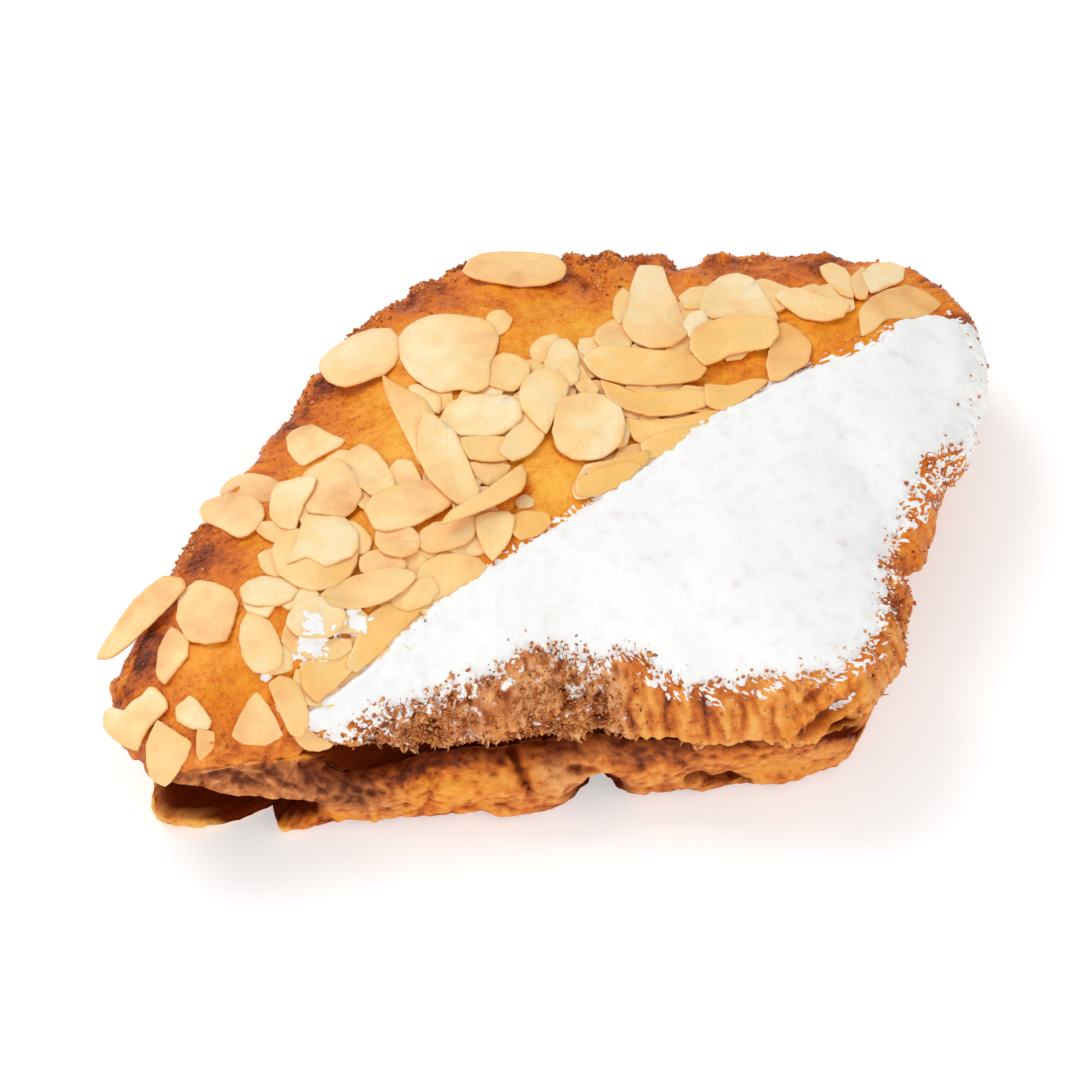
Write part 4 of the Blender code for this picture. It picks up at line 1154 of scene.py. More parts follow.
def topRelief(x, y, z, seen, inset, zone, placeX, placeY, crumble, shoulder, under):
    onTop = (zone < topLip) * 1.0
    cover = sampleMap(sugarCover, x, y)
    bare = np.where(zone < topLip, bareAt(x, y), 1.0)
    bare = bare * (1.0 - within("smoothLeft", x, y, onTop * softStep(cover, -0.5, 1.0)))
    beyond = np.maximum(inset - shoulder, 0.0)
    reach = topHalf["edgeReach"] + spotsAt(placeX, placeY, widerEdges, 0)
    edge = np.where(zone < topLip, np.exp(-beyond / reach), np.exp(-inset / 3.0) * (zone < topCut))
    band = bell(beyond, topHalf["bandWidth"]) * onTop
    front = within("flakyFront", placeX, placeY, band)
    lumps = 0.62 - cellsAt(x, y, z, topHalf["lumpSize"])
    bits = 0.55 - cellsAt(x, y, z, topHalf["bitSize"])
    spiky = noiseAt(x, y * 0.45, z * 0.45, 0.95) * front
    crag = lumps + 0.5 * bits + 0.7 * noiseAt(x, y, z, 5.0) + 0.25 * noiseAt(x, y, z, 0.9) + 0.9 * spiky
    behind = np.maximum(within("burntBack", placeX, placeY), within("burntLeft", placeX, placeY))
    burnt = bell(beyond, 6.0) * (0.45 + 0.9 * noiseAt(x, y, z + 11.0, 8.0)) * behind
    pleats = (0.4 - creases(placeX, placeY, z / 9.0 + 3.0, topHalf["pleatWidth"])
              + 0.8 * noiseAt(placeX, placeY, z / 5.0, 1.3))
    pores = (softStep(0.3 - cellsAt(x, y, z, topHalf["poreSpacing"]), 0.0, 0.22)
             * softStep(noiseAt(x, y, 30.0, 11.0), -0.3, 0.15))
    swell = 0.22 * noiseAt(x, y, z, 3.2) + 0.14 * noiseAt(x, y, z, 1.2)
    dome = swell - topHalf["poreDepth"] * pores * (1.0 - 0.5 * edge)
    u, v = intoPicture(x, y, z)
    knobs = spotsAt(u, v, rimKnobs, 0) * onTop * edge ** 0.3
    height = ((topHalf["cragHeight"] * crag * crumble * edge + knobs) * (0.15 + 0.85 * bare)
              + topHalf["pleatHeight"] * pleats * band * (1.0 - 0.8 * crumble)
              + np.where(zone == topCrust, dome, 0.4 * swell))
    # tone paints highlights on raised crags and pleat ridges and shade in their hollows and in the pores
    tone = (topHalf["baseTone"] + 0.12 * noiseAt(x, y, 3.0, 11.0)
            + topHalf["edgeTone"] * edge * onTop * (1.0 - 0.5 * front)
            + spotsAt(u, v, crustPatches, 0) * onTop * (zone == topCrust)
            - topHalf["cragHighlightAndShade"] * crag * edge * crumble
            + topHalf["burntTone"] * np.maximum(burnt, 0.0) * onTop
            - 0.3 * pleats * band * (1.0 - crumble) + 0.2 * pores)
    dry = (front * (0.25 + 0.6 * softStep(crumble, 0.4, 0.8))
           + 0.3 * band * crumble * softStep(-placeY, 0.0, 30.0))
    # depth paints shade inside the cut, in the deep hollows of the crags and in the pits
    depth = (0.85 * (zone >= topLip) * softStep(inset, 0.0, 2.0)
             + 0.9 * softStep(-crag * crumble * edge, 0.12, 0.6) + 0.6 * softStep(-knobs, 0.5, 1.6))
    marked = band * (placeY < -8.0) * seen
    strokes = {name: change * marked for name, change in strokesAt(u, v, topStrokes).items()}
    lipBand = softStep(under + 2.2 - z, 0.0, 2.2) * band
    tone = np.maximum(tone + strokes["tone"] - 0.3 * lipBand * front * (1.0 - crumble), 0.17 * front)
    near = np.exp(np.minimum(cover, 0.0) / 1.6) * onTop
    powdered = within("powderedRim", placeX, placeY)
    dust = (strokes["dust"] + near * softStep(noiseAt(x, y, z + 60.0, 0.7) + 0.5 * crag, -0.1, 0.4)
            + 0.5 * front * crumble * softStep(noiseAt(x, y, z + 20.0, 2.2), 0.12, 0.4)
            + powdered * onTop * bell(np.maximum(beyond - 2.0, 0.0), 6.0))
    layers = {"tone": tone, "dry": dry + strokes["dry"], "depth": depth + strokes["depth"], "dust": dust}
    return height + strokes["height"], layers, band * (zone == topShoulder) + edge * (zone == topCrust)


def makeTopHalf(material):
    rings, columns = [], []
    for angles, rim, inset, zone in topRows(sectorAngles(topHalf["sectors"])):
        x, y = planPoint(angles, inset, rim)
        z = crustHeight(x, y, inset, rim) if zone < topLip else sum(opening(inset, rim))
        rings.append(np.column_stack([x, y, z]))
        columns.append(np.column_stack([inset, np.full_like(inset, zone), *planPoint(angles, 0.0, rim),
                                        crumbleAt(angles, rim["upper"]), rim["shoulder"], rim["under"]]))
    inset, rim = insetAt(*form["hub"])
    crown = crustHeight(*form["hub"], inset, rim).item()
    tips = [(*form["hub"], z) for z in (crown, sum(opening(form["domeRun"], rim)))]
    points, faces = ringFaces(rings, tips)
    measures = np.concatenate([*columns, columns[0][:1], columns[-1][:1]]).T
    normals = pointNormals(points, faces)
    height, layers, band = topRelief(*points.T, seenAt(normals), *measures)
    inset, zone, placeX, placeY, crumble, _, under = measures
    z = points[:, 2]
    lift = height * np.where(zone == topLip, np.clip(1.0 - inset / 8.0, 0.0, 1.0), zone < topCut)
    ragged = noiseAt(placeX, placeY, 7.0, 2.6) + 0.8 * noiseAt(placeX, placeY, 1.0, 1.2)
    lip = (np.where(zone == topShoulder, softStep(under + 2.5 - z, 0.0, 2.5), 0.0)
           + (zone == topLip) * np.exp(-inset / 2.0))
    points = points + normals * np.clip(lift, *topHalf["reliefLimits"])[:, None]
    points[:, 2] += topHalf["lipRagged"] * ragged * lip * (0.4 + crumble)
    piece = addPiece("crustTop", points, faces, material, clipped(layers))
    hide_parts("croissant_top")
    print("upper half:", len(points), "points")
    return points, normals, {"band": band, "crumble": crumble, "lip": lip}


# Lower half

lowHalf = {
    "sectors": 880,
    "topRings": 14,
    "sideRings": 62,
    "lumpHeight": 0.9,      # the same lumps as the solid's
    "lumpSize": 7.0,
    "layerHeight": 0.25,    # thin edges of the dough's layers
    "grainHeight": 0.38,
    "grainSize": 2.4,
    "creaseDepth": 0.5,
    "reliefLimits": (-2.2, 1.6),
    "baseTone": 0.42,       # from 0, honey, to 1, dark brown
    "baseDry": 0.25,
}

# places on the lower half's side in the picture: x, y, width, height, tone, dryness; the first three, darker
# and greyer, paint the shade on the left front side
sidePatches = (
    (235, 775, 70, 16, 0.3, 0.9), (300, 785, 50, 20, 0.25, 0.8), (365, 800, 34, 18, 0.3, 0.7),
    (350, 815, 24, 8, -0.2, -0.3), (310, 818, 22, 9, 0.1, -0.2), (215, 822, 45, 6, 0.05, -0.4),
    (445, 785, 50, 22, -0.18, -0.15), (560, 768, 28, 16, -0.18, 0.4), (375, 778, 40, 10, 0.45, 0.0),
    (440, 763, 50, 7, 0.2, 0.0), (640, 758, 40, 10, 0.22, 0.2), (700, 762, 40, 9, 0.1, 0.1),
    (790, 766, 40, 10, -0.18, 0.05), (835, 755, 20, 9, -0.2, 0.2), (655, 768, 50, 16, 0.1, -0.25),
    (730, 758, 24, 8, 0.05, 0.0), (575, 790, 14, 6, 0.2, 0.2),
)

# creases and folds of the lower half's side in the picture; their depth and darker tone paint shade in the
# creases, the pits and the hollow at the right end
sideStrokes = (
    (4.5, {"height": -1.8, "tone": 0.5, "depth": 0.45}, (512, 752), (518, 766), (525, 784), (530, 793)),
    (9.0, {"height": 1.0, "tone": -0.1}, (536, 752), (545, 770), (556, 786)),
    (4.0, {"height": -1.0, "tone": 0.4, "depth": 0.2}, (572, 769), (584, 771), (594, 770)),
    (5.0, {"height": 0.7, "tone": -0.2}, (552, 766), (575, 777), (590, 784)),
    (4.0, {"height": -1.5, "depth": 0.9}, (688, 781), (700, 776), (712, 782), (730, 777), (748, 782)),
    (2.2, {"height": -0.6, "tone": 0.2}, (200, 776), (230, 770), (262, 775)),
    (2.2, {"height": -0.6, "tone": 0.2}, (262, 768), (280, 782), (300, 788)),
    (2.2, {"height": -0.6, "tone": 0.2}, (300, 764), (312, 780), (322, 790)),
    (2.2, {"height": -0.6, "tone": 0.2}, (330, 770), (350, 786), (372, 794)),
    (3.0, {"height": 0.6, "tone": -0.25, "dry": 0.3}, (235, 768), (262, 772), (285, 790)),
    (4.0, {"height": 0.7, "tone": -0.3, "dry": -0.4}, (205, 768), (240, 762), (300, 755), (330, 752)),
    (3.5, {"height": -0.7, "tone": 0.25}, (420, 765), (432, 784), (428, 806)),
    (3.5, {"height": 0.6, "tone": -0.25, "dry": -0.3}, (330, 806), (338, 822)),
    (3.5, {"height": 0.6, "tone": -0.25, "dry": -0.3}, (370, 800), (374, 820)),
    (6.0, {"height": -0.8, "tone": 0.6, "depth": 1.6, "dry": -0.8}, (832, 736), (862, 732)),
)


lowCut, lowEdge, lowSide, lowFloor = 0.0, 1.0, 2.0, 3.0      # zones of the lower half, from its cut down


def lowRows(angles):  # each row: angles, plan, height, zone, distance in, share of the edge height
    rows = []
    for turned, rim, inset in rowsInwards(angles, ((0.1, 8), (0.4, 4), (0.7, 2)), form["splitDepth"]):
        cut, half = opening(inset, rim)
        rows.append((turned, *planPoint(turned, inset, rim), cut - half, lowCut, inset, 1.0))
    rim = rimAt(angles)
    tuck = (rim["upper"] - sideRadius(rim, baseProfile[0][3])) * rim["slant"]
    for k in range(lowHalf["topRings"]):
        inset = tuck + (form["splitDepth"] - tuck) * (1.0 - k / (lowHalf["topRings"] + 0.5)) ** 1.2
        cut, half = opening(inset, rim)
        rows.append((angles, *planPoint(angles, inset, rim), cut - half, lowEdge, inset - tuck, 1.0))
    heights, ins, hollows, backs, rises = (np.array(column) for column in zip(*baseProfile))
    path = np.concatenate(([0.0], np.cumsum(np.hypot(np.diff(heights) * 15.0, np.diff(ins)))))
    for travel in np.linspace(0.0, path[-1], lowHalf["sideRings"]):
        share, inset, hollow, back, rise = (np.interp(travel, path, column)
                                            for column in (heights, ins, hollows, backs, rises))
        reach = sideRadius(rim, back)
        z = rim["over"] * (share + rise * rim["rise"])
        spot = (np.cos(angles) * reach, np.sin(angles) * reach, z)
        fade = np.clip((cleftTop - share) / (cleftTop - cleftFull), 0.0, 1.0)
        carved = hollow * rim["hollow"] / rim["slant"] + fade * rim["cleft"]
        reach = reach + lowHalf["lumpHeight"] * noiseAt(*spot, lowHalf["lumpSize"]) * min(share / 0.08, 1.0)
        reach = reach - inset / rim["slant"] - carved
        rows.append((angles, *fromHub(angles, reach), z, lowSide, carved, share))
    for share, step in ((0.05, 1), (0.12, 1), (0.22, 2), (0.36, 2), (0.5, 4), (0.66, 4), (0.84, 8)):
        rim = rimAt(angles[::step])
        reach = (rim["lower"] - 3.0 / rim["slant"] - rim["cleft"]) * (1.0 - share)
        rows.append((angles[::step], *fromHub(angles[::step], reach), 0.0, lowFloor, share * 50.0, 0.0))
    return rows


def lowRelief(x, y, z, seen, zone, inset, share, placeY, gape, hollow):
    side = (zone == lowSide) * 1.0
    near = np.where(zone == lowEdge, np.clip(1.0 - inset / 6.0, 0.0, 1.0), side)
    wave = noiseAt(x, y, 0.0, 12.0) * 2.5
    sheets = noiseAt(x / 5.0, y / 5.0, z * 0.7 + wave, 1.0)
    grain = 0.6 - cellsAt(x, y, z, lowHalf["grainSize"]) + 0.8 * noiseAt(x, y, z, 1.3)
    clefted = creases(x, y, z * 1.6, 6.0) * softStep(noiseAt(x, y, z + 15.0, 9.0), -0.2, 0.2)
    u, v = intoPicture(x, y, z)
    facing = (side + (zone == lowEdge)) * (placeY < -8.0) * (z > 0.4) * seen
    strokes = {name: change * facing for name, change in strokesAt(u, v, sideStrokes).items()}
    lift = (lowHalf["layerHeight"] * sheets + lowHalf["grainHeight"] * grain
            - lowHalf["creaseDepth"] * clefted) * near
    lift = np.clip(lift + strokes["height"], *lowHalf["reliefLimits"])
    fine = noiseAt(x, y, z * 1.5, 0.9)
    strands = within("strandedLeft", x, y, creases(x, y, z * 1.3, 2.6)) * softStep(z, 5.0, 8.0) * side
    # tone follows the relief: raised grain and layers painted lighter, creases darker, as painted highlight
    # and shade
    tone = (lowHalf["baseTone"] + 0.1 * noiseAt(x, y, z, 8.0)
            + side * (0.2 * clefted - 0.3 * grain - 0.2 * sheets - 0.2 * fine)
            - 0.3 * (strands - 0.3) * (strands > 0.0)
            + spotsAt(u, v, sidePatches, 0) * facing + strokes["tone"])
    tone = np.maximum(tone, 0.24 + 0.1 * noiseAt(x, y, z, 2.0))
    # painted shade on the side just under the upper half, on the top face between the halves and towards the
    # bottom; the lip of the hollow is painted lighter, a painted highlight against its shade
    shadeUnderTop = within("paintedShadeUnderTop", x, y, side * softStep(share, 0.7, 0.95))
    lip = softStep(3.4 - z, 0.0, 2.0) * side * softStep(hollow, 2.0, 5.0)
    tone = (tone + 0.3 * np.where(zone <= lowEdge, 1.0, shadeUnderTop) + 0.25 * softStep(3.0 - z, 0.0, 3.0) * side
            + 0.15 * (zone == lowFloor) - 0.6 * lip)
    # painted shade under the gap between the halves and in the carved hollows
    shade = softStep(share, 0.8, 1.0) * side * softStep(gape, 0.4, 2.0)
    carved = side * softStep(inset - 2.5 * (placeY > 0.0), 0.8, 3.4) * (z > 0.3)
    # depth paints shade between the halves, in the hollows, under the gap, in the strokes' creases and where
    # the grain is low
    depth = (0.97 * (zone <= lowEdge) * softStep(inset + 1.0, 0.0, 2.5) + carved + 0.9 * shade
             + strokes["depth"] + 0.5 * softStep(-grain, 0.25, 0.7) * side)
    dry = (lowHalf["baseDry"] + 0.25 * softStep(noiseAt(x, y, z, 16.0), -0.1, 0.3)
           + spotsAt(u, v, sidePatches, 1) * facing + strokes["dry"])
    return lift, {"tone": tone, "dry": dry, "depth": depth, "dust": 0.0 * x}


def makeLowHalf(material):
    rings, columns = [], []
    for angles, x, y, height, zone, inset, share in lowRows(sectorAngles(lowHalf["sectors"])):
        rings.append(np.column_stack([x, y, height + 0.0 * x]))
        rim = rimAt(angles)
        gape = rim["under"] - rim["over"]
        columns.append(np.column_stack([np.full_like(x, zone), inset + 0.0 * x, np.full_like(x, share),
                                        planPoint(angles, 0.0, rim)[1], gape, rim["hollow"]]))
    middle, half = opening(form["domeRun"], rimAt(0.0))
    points, faces = ringFaces(rings, [(*form["hub"], middle - half), (*form["hub"], 0.0)])
    measures = np.concatenate([*columns, columns[0][:1], columns[-1][:1]]).T
    zone, inset, *_ = measures
    normals = pointNormals(points, faces)
    x, y, z = points.T
    lift, layers = lowRelief(x, y, z, seenAt(normals), *measures)
    points = points + normals * (lift * np.where(zone == lowSide, softStep(z, 0.0, 1.6), 1.0))[:, None]
    floor = (zone == lowFloor) * 1.0
    points[:, 2] += (0.5 * floor * softStep(noiseAt(x, y, 50.0, 5.0), 0.1, 0.5) * softStep(inset, 3.0, 8.0)
                     + 0.15 * floor * np.abs(noiseAt(x, y, 5.0, 2.0)) * softStep(inset, 3.0, 6.0))
    points[:, 2] = np.maximum(points[:, 2], 0.0)
    piece = addPiece("crustBase", points, faces, material, clipped(layers))
    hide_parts("croissant_base")
    print("lower half:", len(points), "points")


# Icing sugar

sugar = {
    "step": 0.4,             # grid spacing
    "thickness": 0.95,
    "edgeThickness": 0.4,
    "ragged": 0.7,           # unevenness of its edge
    "crumbled": 1.6,         # extra unevenness along the front and right
    "tongue": (1.9, 26.0, 7.0),     # where it reaches further to the front: how far, plan x, half width
    "fade": 1.3,             # distance over which its edge rounds off
    "thinning": 5.0,         # distance over which it grows to its full thickness
    "grain": 0.025,
    "swell": 0.05,
    "rimMargin": 0.8,        # how far in from the rim it stays
    "sink": 0.6,             # how far its edge and its underside lie below what it covers
    "depth": 1.0,
    "smoothing": (3.0, 0.8), # how widely and how closely it follows what it covers
    "poking": 0.3,           # how far that may stand out of it
}

powderPatch = {"step": 0.22, "margin": 1.5, "ragged": (0.9, 0.5), "height": 0.43, "edge": (-0.25, 0.8),
               "bumps": 0.1, "smoothing": 0.35, "sink": 0.3, "depth": 0.5}

# loose powder in the picture: x, y, radius in mm
powderSpots = (
    (314, 625, 2.3), (357, 623, 2.2), (311, 650, 2.6), (342, 640, 1.2), (326, 655, 1.3), (267, 679, 0.7),
    (283, 721, 1.1), (334, 628, 0.9), (372, 618, 0.9), (299, 655, 1.0), (246, 628, 0.6), (322, 640, 1.0),
)


def coverAt(x, y, inset):  # how far inside the sugar's ragged edge
    distance = edgeDistance(x, y, closedCurve(sugarEdge, 4))
    near = np.abs(distance) < 8.0
    nearX, nearY = x[near], y[near]
    crumbled = within("crumbledFront", nearX, nearY)
    crumbled = crumbled * (1.0 - 0.65 * within("lessCrumbled", nearX, nearY))
    crumbled = np.maximum(crumbled, within("crumbledRight", nearX, nearY))
    nearZ = softSample(nearX, nearY, 1.0)
    pleated = within("pleatedSugar", nearX, nearY)
    coarse = (0.8 * noiseAt(nearX, nearY, nearZ + 3.0, 3.6) + 0.6 * noiseAt(nearX, nearY, nearZ + 8.0, 1.5)
              + 0.7 * (1.0 - 0.7 * pleated) * noiseAt(nearX, nearY, nearZ + 8.0, 0.75))
    reach, middle, width = sugar["tongue"]
    distance[near] += within("sugarTongue", nearX, nearY, reach * bell(nearX - middle, width))
    calm = 1.0 - 0.7 * within("calmLeft", nearX, nearY)
    distance[near] += coarse * (sugar["ragged"] * calm + sugar["crumbled"] * crumbled)
    return np.minimum(distance, inset - sugar["rimMargin"])


sugarCover = coverAt(mapX, mapY, mapInset)


def addSheet(name, x, y, top, under, used, material):  # closed sheet over the used part of a grid
    index = np.full(x.shape, -1)
    cells = used[:-1, :-1] & used[1:, :-1] & used[1:, 1:] & used[:-1, 1:]
    touched = np.zeros_like(used)
    for i, j in ((0, 0), (1, 0), (1, 1), (0, 1)):
        touched[i:x.shape[0] - 1 + i, j:x.shape[1] - 1 + j] |= cells
    count = int(touched.sum())
    index[touched] = np.arange(count)
    i, j = np.nonzero(cells)
    corners = np.column_stack([index[i, j], index[i + 1, j], index[i + 1, j + 1], index[i, j + 1]])
    borders = {}
    for a, b, c, d in corners.tolist():
        for edge in ((a, b), (b, c), (c, d), (d, a)):
            if borders.pop(edge[::-1], None) is None:
                borders[edge] = True
    faces = corners.tolist() + (corners[:, ::-1] + count).tolist()
    faces += [(b, a, a + count, b + count) for a, b in borders]
    points = np.concatenate([np.column_stack([x[touched], y[touched], level[touched]])
                             for level in (top, under)])
    return addPiece(name, points, faces, material)


sugarColours = {"shadow": fromScreen(237, 235, 232), "white": fromScreen(243, 243, 242),
                "warm": fromScreen(224, 202, 182)}

sugarFinish = {
    "cloud": (330.0, 5.0),           # scale and detail of each noise
    "powder": (1700.0, 5.0),
    "stops": ((0.3, "shadow"), (0.5, "white")),
    "specks": (0.33, 14.0, 0.3),     # how common, how sharp, how strong
    "relief": (0.1, 0.0005),         # strength and distance
    "fixed": {"Roughness": 0.95, "Specular IOR Level": 0.15},
}


def makeSugarMaterial():
    material, tree, shader = newMaterial("icingSugar")
    _, minus, times, _ = nodeMaths(tree)
    cloud, powder = (addNoise(tree, *sugarFinish[name]) for name in ("cloud", "powder"))
    common, sharp, strong = sugarFinish["specks"]
    speck = times(times(minus(common, cloud), sharp, clamp=True), strong)
    colour = colourRamp(tree, cloud, sugarFinish["stops"], sugarColours)
    feedAll(tree, shader, {
        "Base Color": mixColour(tree, speck, colour, sugarColours["warm"]),
        "Normal": addBump(tree, *sugarFinish["relief"], powder),
        **sugarFinish["fixed"]})
    return material


def makeSugar(material):
    outline = closedCurve(sugarEdge, 4)
    low, high = outline.min(axis=0) - 3.0, outline.max(axis=0) + 3.0
    x, y = np.meshgrid(*(np.arange(low[k], high[k], sugar["step"]) for k in (0, 1)), indexing="ij")
    cover = coverAt(x, y, insetAt(x, y)[0])
    used = cover > -1.0
    wide, close = (softSample(x, y, spread) for spread in sugar["smoothing"])
    base = np.maximum(wide, close - sugar["poking"])
    ramp = softStep(cover, -0.5, sugar["fade"])
    grain, soft = np.zeros_like(x), np.zeros_like(x)
    grain[used] = noiseAt(x[used], y[used], 2.0, 2.0) + 0.7 * noiseAt(x[used], y[used], 5.0, 0.85)
    soft[used] = noiseAt(x[used], y[used], 4.0, 7.0)
    full = np.maximum(softStep(cover, 0.0, sugar["thinning"]), within("calmLeft", x, y))
    thickness = sugar["edgeThickness"] + (sugar["thickness"] - sugar["edgeThickness"]) * full
    sink = sugar["sink"]
    top = base - sink + (thickness + sink + sugar["grain"] * grain + sugar["swell"] * soft) * ramp
    piece = addSheet("sugarDusting", x, y, top, base - sugar["depth"], used, material)
    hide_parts("icing_sugar")
    print("icing sugar:", int(used.sum()), "grid points")


def makePowder(material):
    coarse, fine = powderPatch["ragged"]
    count = 0
    for index, (px, py, radius) in enumerate(powderSpots):
        centreX, centreY = ontoTop(px, py)
        extent = radius + powderPatch["margin"]
        reach = np.arange(-extent, extent, powderPatch["step"])
        x, y = np.meshgrid(centreX + reach, centreY + reach, indexing="ij")
        cover = radius - np.hypot(x - centreX, y - centreY)
        cover = cover + coarse * noiseAt(x, y, index + 0.5, 1.5) + fine * noiseAt(x, y, index + 7.5, 0.7)
        used = cover > powderPatch["edge"][0]
        ground = softSample(x, y, powderPatch["smoothing"])
        rise = powderPatch["height"] * softStep(cover, *powderPatch["edge"])
        top = ground - powderPatch["sink"] + rise
        top = top + powderPatch["bumps"] * noiseAt(x, y, 3.0, 0.6)
        if used[1:-1, 1:-1].any():
            under = ground - powderPatch["depth"]
            addSheet("powderPatch%02d" % index, x, y, top, under, used, material)
            count += 1
    print("powder patches:", count)


# Crumbs and shards along the rim

crumbs = {"count": 4200, "onSugar": 520, "seed": 5, "smallest": 0.3, "largest": 1.15,
          "breadth": (0.45, 0.9), "height": (0.35, 0.8), "uneven": 0.35, "scatter": 0.2,
          "tone": (0.47, 0.16), "dry": (0.4, 1.0), "dusted": 0.35, "sizeBias": 2.2}
shards = {"count": 1300, "seed": 8, "shortest": 0.7, "longest": 1.9, "width": 0.34, "thickness": 0.12,
          "widths": (0.6, 1.5), "curl": 0.35, "upright": 0.35, "straying": 0.55,
          "tone": (0.4, 0.2), "dry": (0.4, 1.0), "dusted": 0.2, "sizeBias": 2}
dustOnBits = {"strength": 0.9, "fade": 1.5}      # fading with the distance from the sugar
goldenRatio = (1 + math.sqrt(5)) / 2
crumbCorners = np.array([(s, t * goldenRatio, 0.0) for s in (-1, 1) for t in (-1, 1)])
crumbCorners = np.concatenate([np.roll(crumbCorners, k, axis=1) for k in (0, 1, 2)])
crumbCorners = crumbCorners / math.sqrt(1 + goldenRatio ** 2)     # twelve corners of an even crumb


def crumbFaces():
    near = 1.2 * np.linalg.norm(crumbCorners[1:] - crumbCorners[0], axis=1).min()
    faces = []
    for i, j, k in combinations(range(len(crumbCorners)), 3):
        a, b, c = crumbCorners[[i, j, k]]
        if max(np.linalg.norm(side) for side in (b - a, c - b, a - c)) < near:
            faces.append((i, j, k) if np.dot(np.cross(b - a, c - a), a) > 0 else (i, k, j))
    return faces


def addBits(name, parts, template, bits, draw, material):  # many small bits in one mesh
    points, count, each = np.concatenate(parts), len(parts), len(parts[0])
    faces = [tuple(index * each + k for k in face) for index in range(count) for face in template]
    tone = draw.normal(*bits["tone"], count).repeat(each)
    dry = draw.uniform(*bits["dry"], count).repeat(each)
    cover = sampleMap(sugarCover, points[:, 0], points[:, 1])
    dusted = (draw.random(count) < bits["dusted"]).repeat(each)
    dust = np.exp(np.minimum(cover, 0.0) / dustOnBits["fade"]) * dusted * dustOnBits["strength"]
    layers = {"tone": tone, "dry": dry, "depth": np.zeros(len(points)), "dust": dust}
    addPiece(name, points, faces, material, clipped(layers))
    print(name + ":", count)


def sugarBorder(draw, count):  # places on the sugar near its crumbled edge
    near = (sugarCover > 0.2) & (sugarCover < 4.0)
    front = (mapY < -30.0) & (mapX > -23.0) & (mapX < 54.0)
    right = (mapX > 54.0) & (mapY < 16.0)
    i, j = np.nonzero(near & (front | right))
    weight = np.exp(-sugarCover[i, j] / 1.2)
    at = draw.choice(len(i), count, p=weight / weight.sum())
    x, y = (field[i[at], j[at]] + draw.uniform(-0.25, 0.25, count) for field in (mapX, mapY))
    return np.column_stack([x, y, sampleMap(heightMap, x, y) + sugar["edgeThickness"] + 0.15])


def drawPlaces(draw, weight, count):  # numbers of mesh points, leaving out the two tips
    return draw.choice(len(weight) - 2, count, p=weight[:-2] / weight[:-2].sum())


def drawSize(draw, least, most, bias):  # small sizes come up more often
    return least + (most - least) * draw.random() ** bias


def makeCrumbs(material, points, normals, rim):
    draw = np.random.default_rng(crumbs["seed"])
    weight = rim["band"] * rim["crumble"] ** 2.5 * (bareAt(points[:, 0], points[:, 1]) > 0.9)
    chosen = drawPlaces(draw, weight, crumbs["count"])
    parts = []
    for centre in (*(points[chosen] + normals[chosen] * 0.05), *sugarBorder(draw, crumbs["onSugar"])):
        size = drawSize(draw, crumbs["smallest"], crumbs["largest"], crumbs["sizeBias"])
        breadth, height = draw.uniform(*crumbs["breadth"]), draw.uniform(*crumbs["height"])
        stretch = np.array([1.0, breadth, height]) * size / 2
        shape = crumbCorners * (1.0 + draw.uniform(-crumbs["uneven"], crumbs["uneven"], (12, 1))) * stretch
        turn = np.linalg.qr(draw.normal(size=(3, 3)))[0]
        turn[:, 0] *= np.sign(np.linalg.det(turn))
        parts.append(shape @ turn.T + centre + draw.uniform(-crumbs["scatter"], crumbs["scatter"], 3))
    addBits("rimCrumbs", parts, crumbFaces(), crumbs, draw, material)


def makeShards(material, points, normals, rim):  # thin splinters that stand up from the flaky rim
    draw = np.random.default_rng(shards["seed"])
    x, y, _ = points.T
    weight = within("shardFront", x, y, rim["band"] * rim["crumble"] ** 3 * (bareAt(x, y) > 0.9))
    weight = weight * (sampleMap(sugarCover, x, y) < 0.5) * (1.0 + 3.0 * rim["lip"])
    steps = np.linspace(0.0, 1.0, 5)
    parts = []
    for at in drawPlaces(draw, weight, shards["count"]):
        length = drawSize(draw, shards["shortest"], shards["longest"], shards["sizeBias"])
        along = normals[at] * 0.7 + np.array([0.0, 0.0, shards["upright"]])
        along = along + draw.normal(0.0, shards["straying"], 3)
        along /= np.linalg.norm(along)
        across = np.cross(along, draw.normal(size=3))
        across /= np.linalg.norm(across)
        thin = np.cross(along, across)
        spine = (points[at] - 0.3 * normals[at] + np.outer(steps * length, along)
                 + np.outer(shards["curl"] * length * steps ** 2, thin))
        wide = shards["width"] * draw.uniform(*shards["widths"])
        rings = [spine[k] + s * share * wide * across + t * share * shards["thickness"] * thin
                 for k, share in ((1, 1.0), (2, 0.9), (3, 0.6)) for s, t in fourWays]
        parts.append(np.array([*rings, spine[0], spine[-1]]))
    template = ringFaces([np.zeros((4, 3))] * 3, [(0.0, 0.0, 0.0)] * 2)[1]
    addBits("rimShards", parts, template, shards, draw, material)


# Light and floor

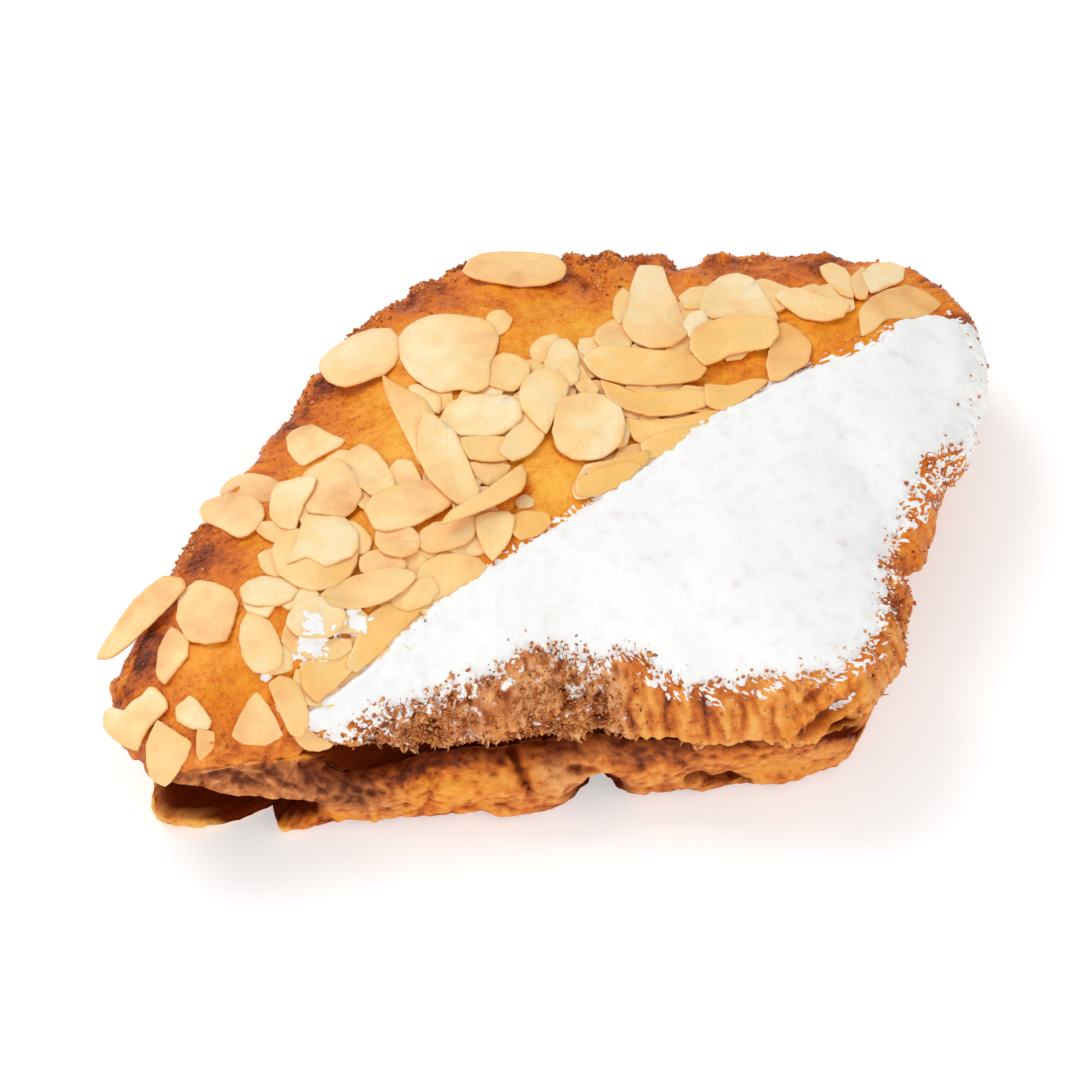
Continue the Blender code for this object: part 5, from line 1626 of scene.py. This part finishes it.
lights = {  # place in metres, size, power
    "key": ((-0.5, 0.42, 0.8), 0.6, 4.5),
    "fill": ((0.6, -0.5, 0.6), 0.7, 1.4),
    "front": ((-0.15, -0.85, 0.4), 0.6, 2.2),
}
studio = {"light": (1.0, 1.0, 1.0, 1.0), "strength": 0.59}
floorPlate = {"half": 4.0, "drop": 0.0002, "colour": (0.74, 0.74, 0.74, 1.0), "roughness": 0.9, "glow": 0.36}


def addLights():
    for name, (place, size, power) in lights.items():
        data = bpy.data.lights.new(name, "AREA")
        data.shape = "DISK"
        data.size = size
        data.energy = power
        holder = bpy.data.objects.new(name, data)
        holder.location = place
        holder.rotation_euler = (-Vector(place)).to_track_quat("-Z", "Y").to_euler()
        bpy.context.scene.collection.objects.link(holder)
    world = bpy.data.worlds.new("studio")
    world.use_nodes = True
    feedAll(world.node_tree, world.node_tree.nodes["Background"],
            {"Color": studio["light"], "Strength": studio["strength"]})
    bpy.context.scene.world = world
    bpy.context.scene.view_settings.view_transform = "Standard"


def addFloor():
    material, tree, shader = newMaterial("paleFloor")
    feedAll(tree, shader, {
        "Base Color": floorPlate["colour"], "Roughness": floorPlate["roughness"],
        "Emission Color": studio["light"], "Emission Strength": floorPlate["glow"]})
    mesh = bpy.data.meshes.new("floor")
    half = floorPlate["half"]
    corners = [(-half, -half, 0), (half, -half, 0), (half, half, 0), (-half, half, 0)]
    mesh.from_pydata(corners, [], [(0, 1, 2, 3)])
    mesh.materials.append(material)
    floor = bpy.data.objects.new("floor", mesh)
    floor.location.z = -floorPlate["drop"]
    bpy.context.scene.collection.objects.link(floor)


addCamera()
addLights()
addFloor()
crustMaterial = makeBakedMaterial("bakedCrust")
sideMaterial = makeBakedMaterial("bakedSide")
sugarMaterial = makeSugarMaterial()
makeFlakes(makeAlmondMaterial())
topPoints, topNormals, topRim = makeTopHalf(crustMaterial)
makeLowHalf(sideMaterial)
makeSugar(sugarMaterial)
makePowder(sugarMaterial)
makeCrumbs(sideMaterial, topPoints, topNormals, topRim)
makeShards(sideMaterial, topPoints, topNormals, topRim)
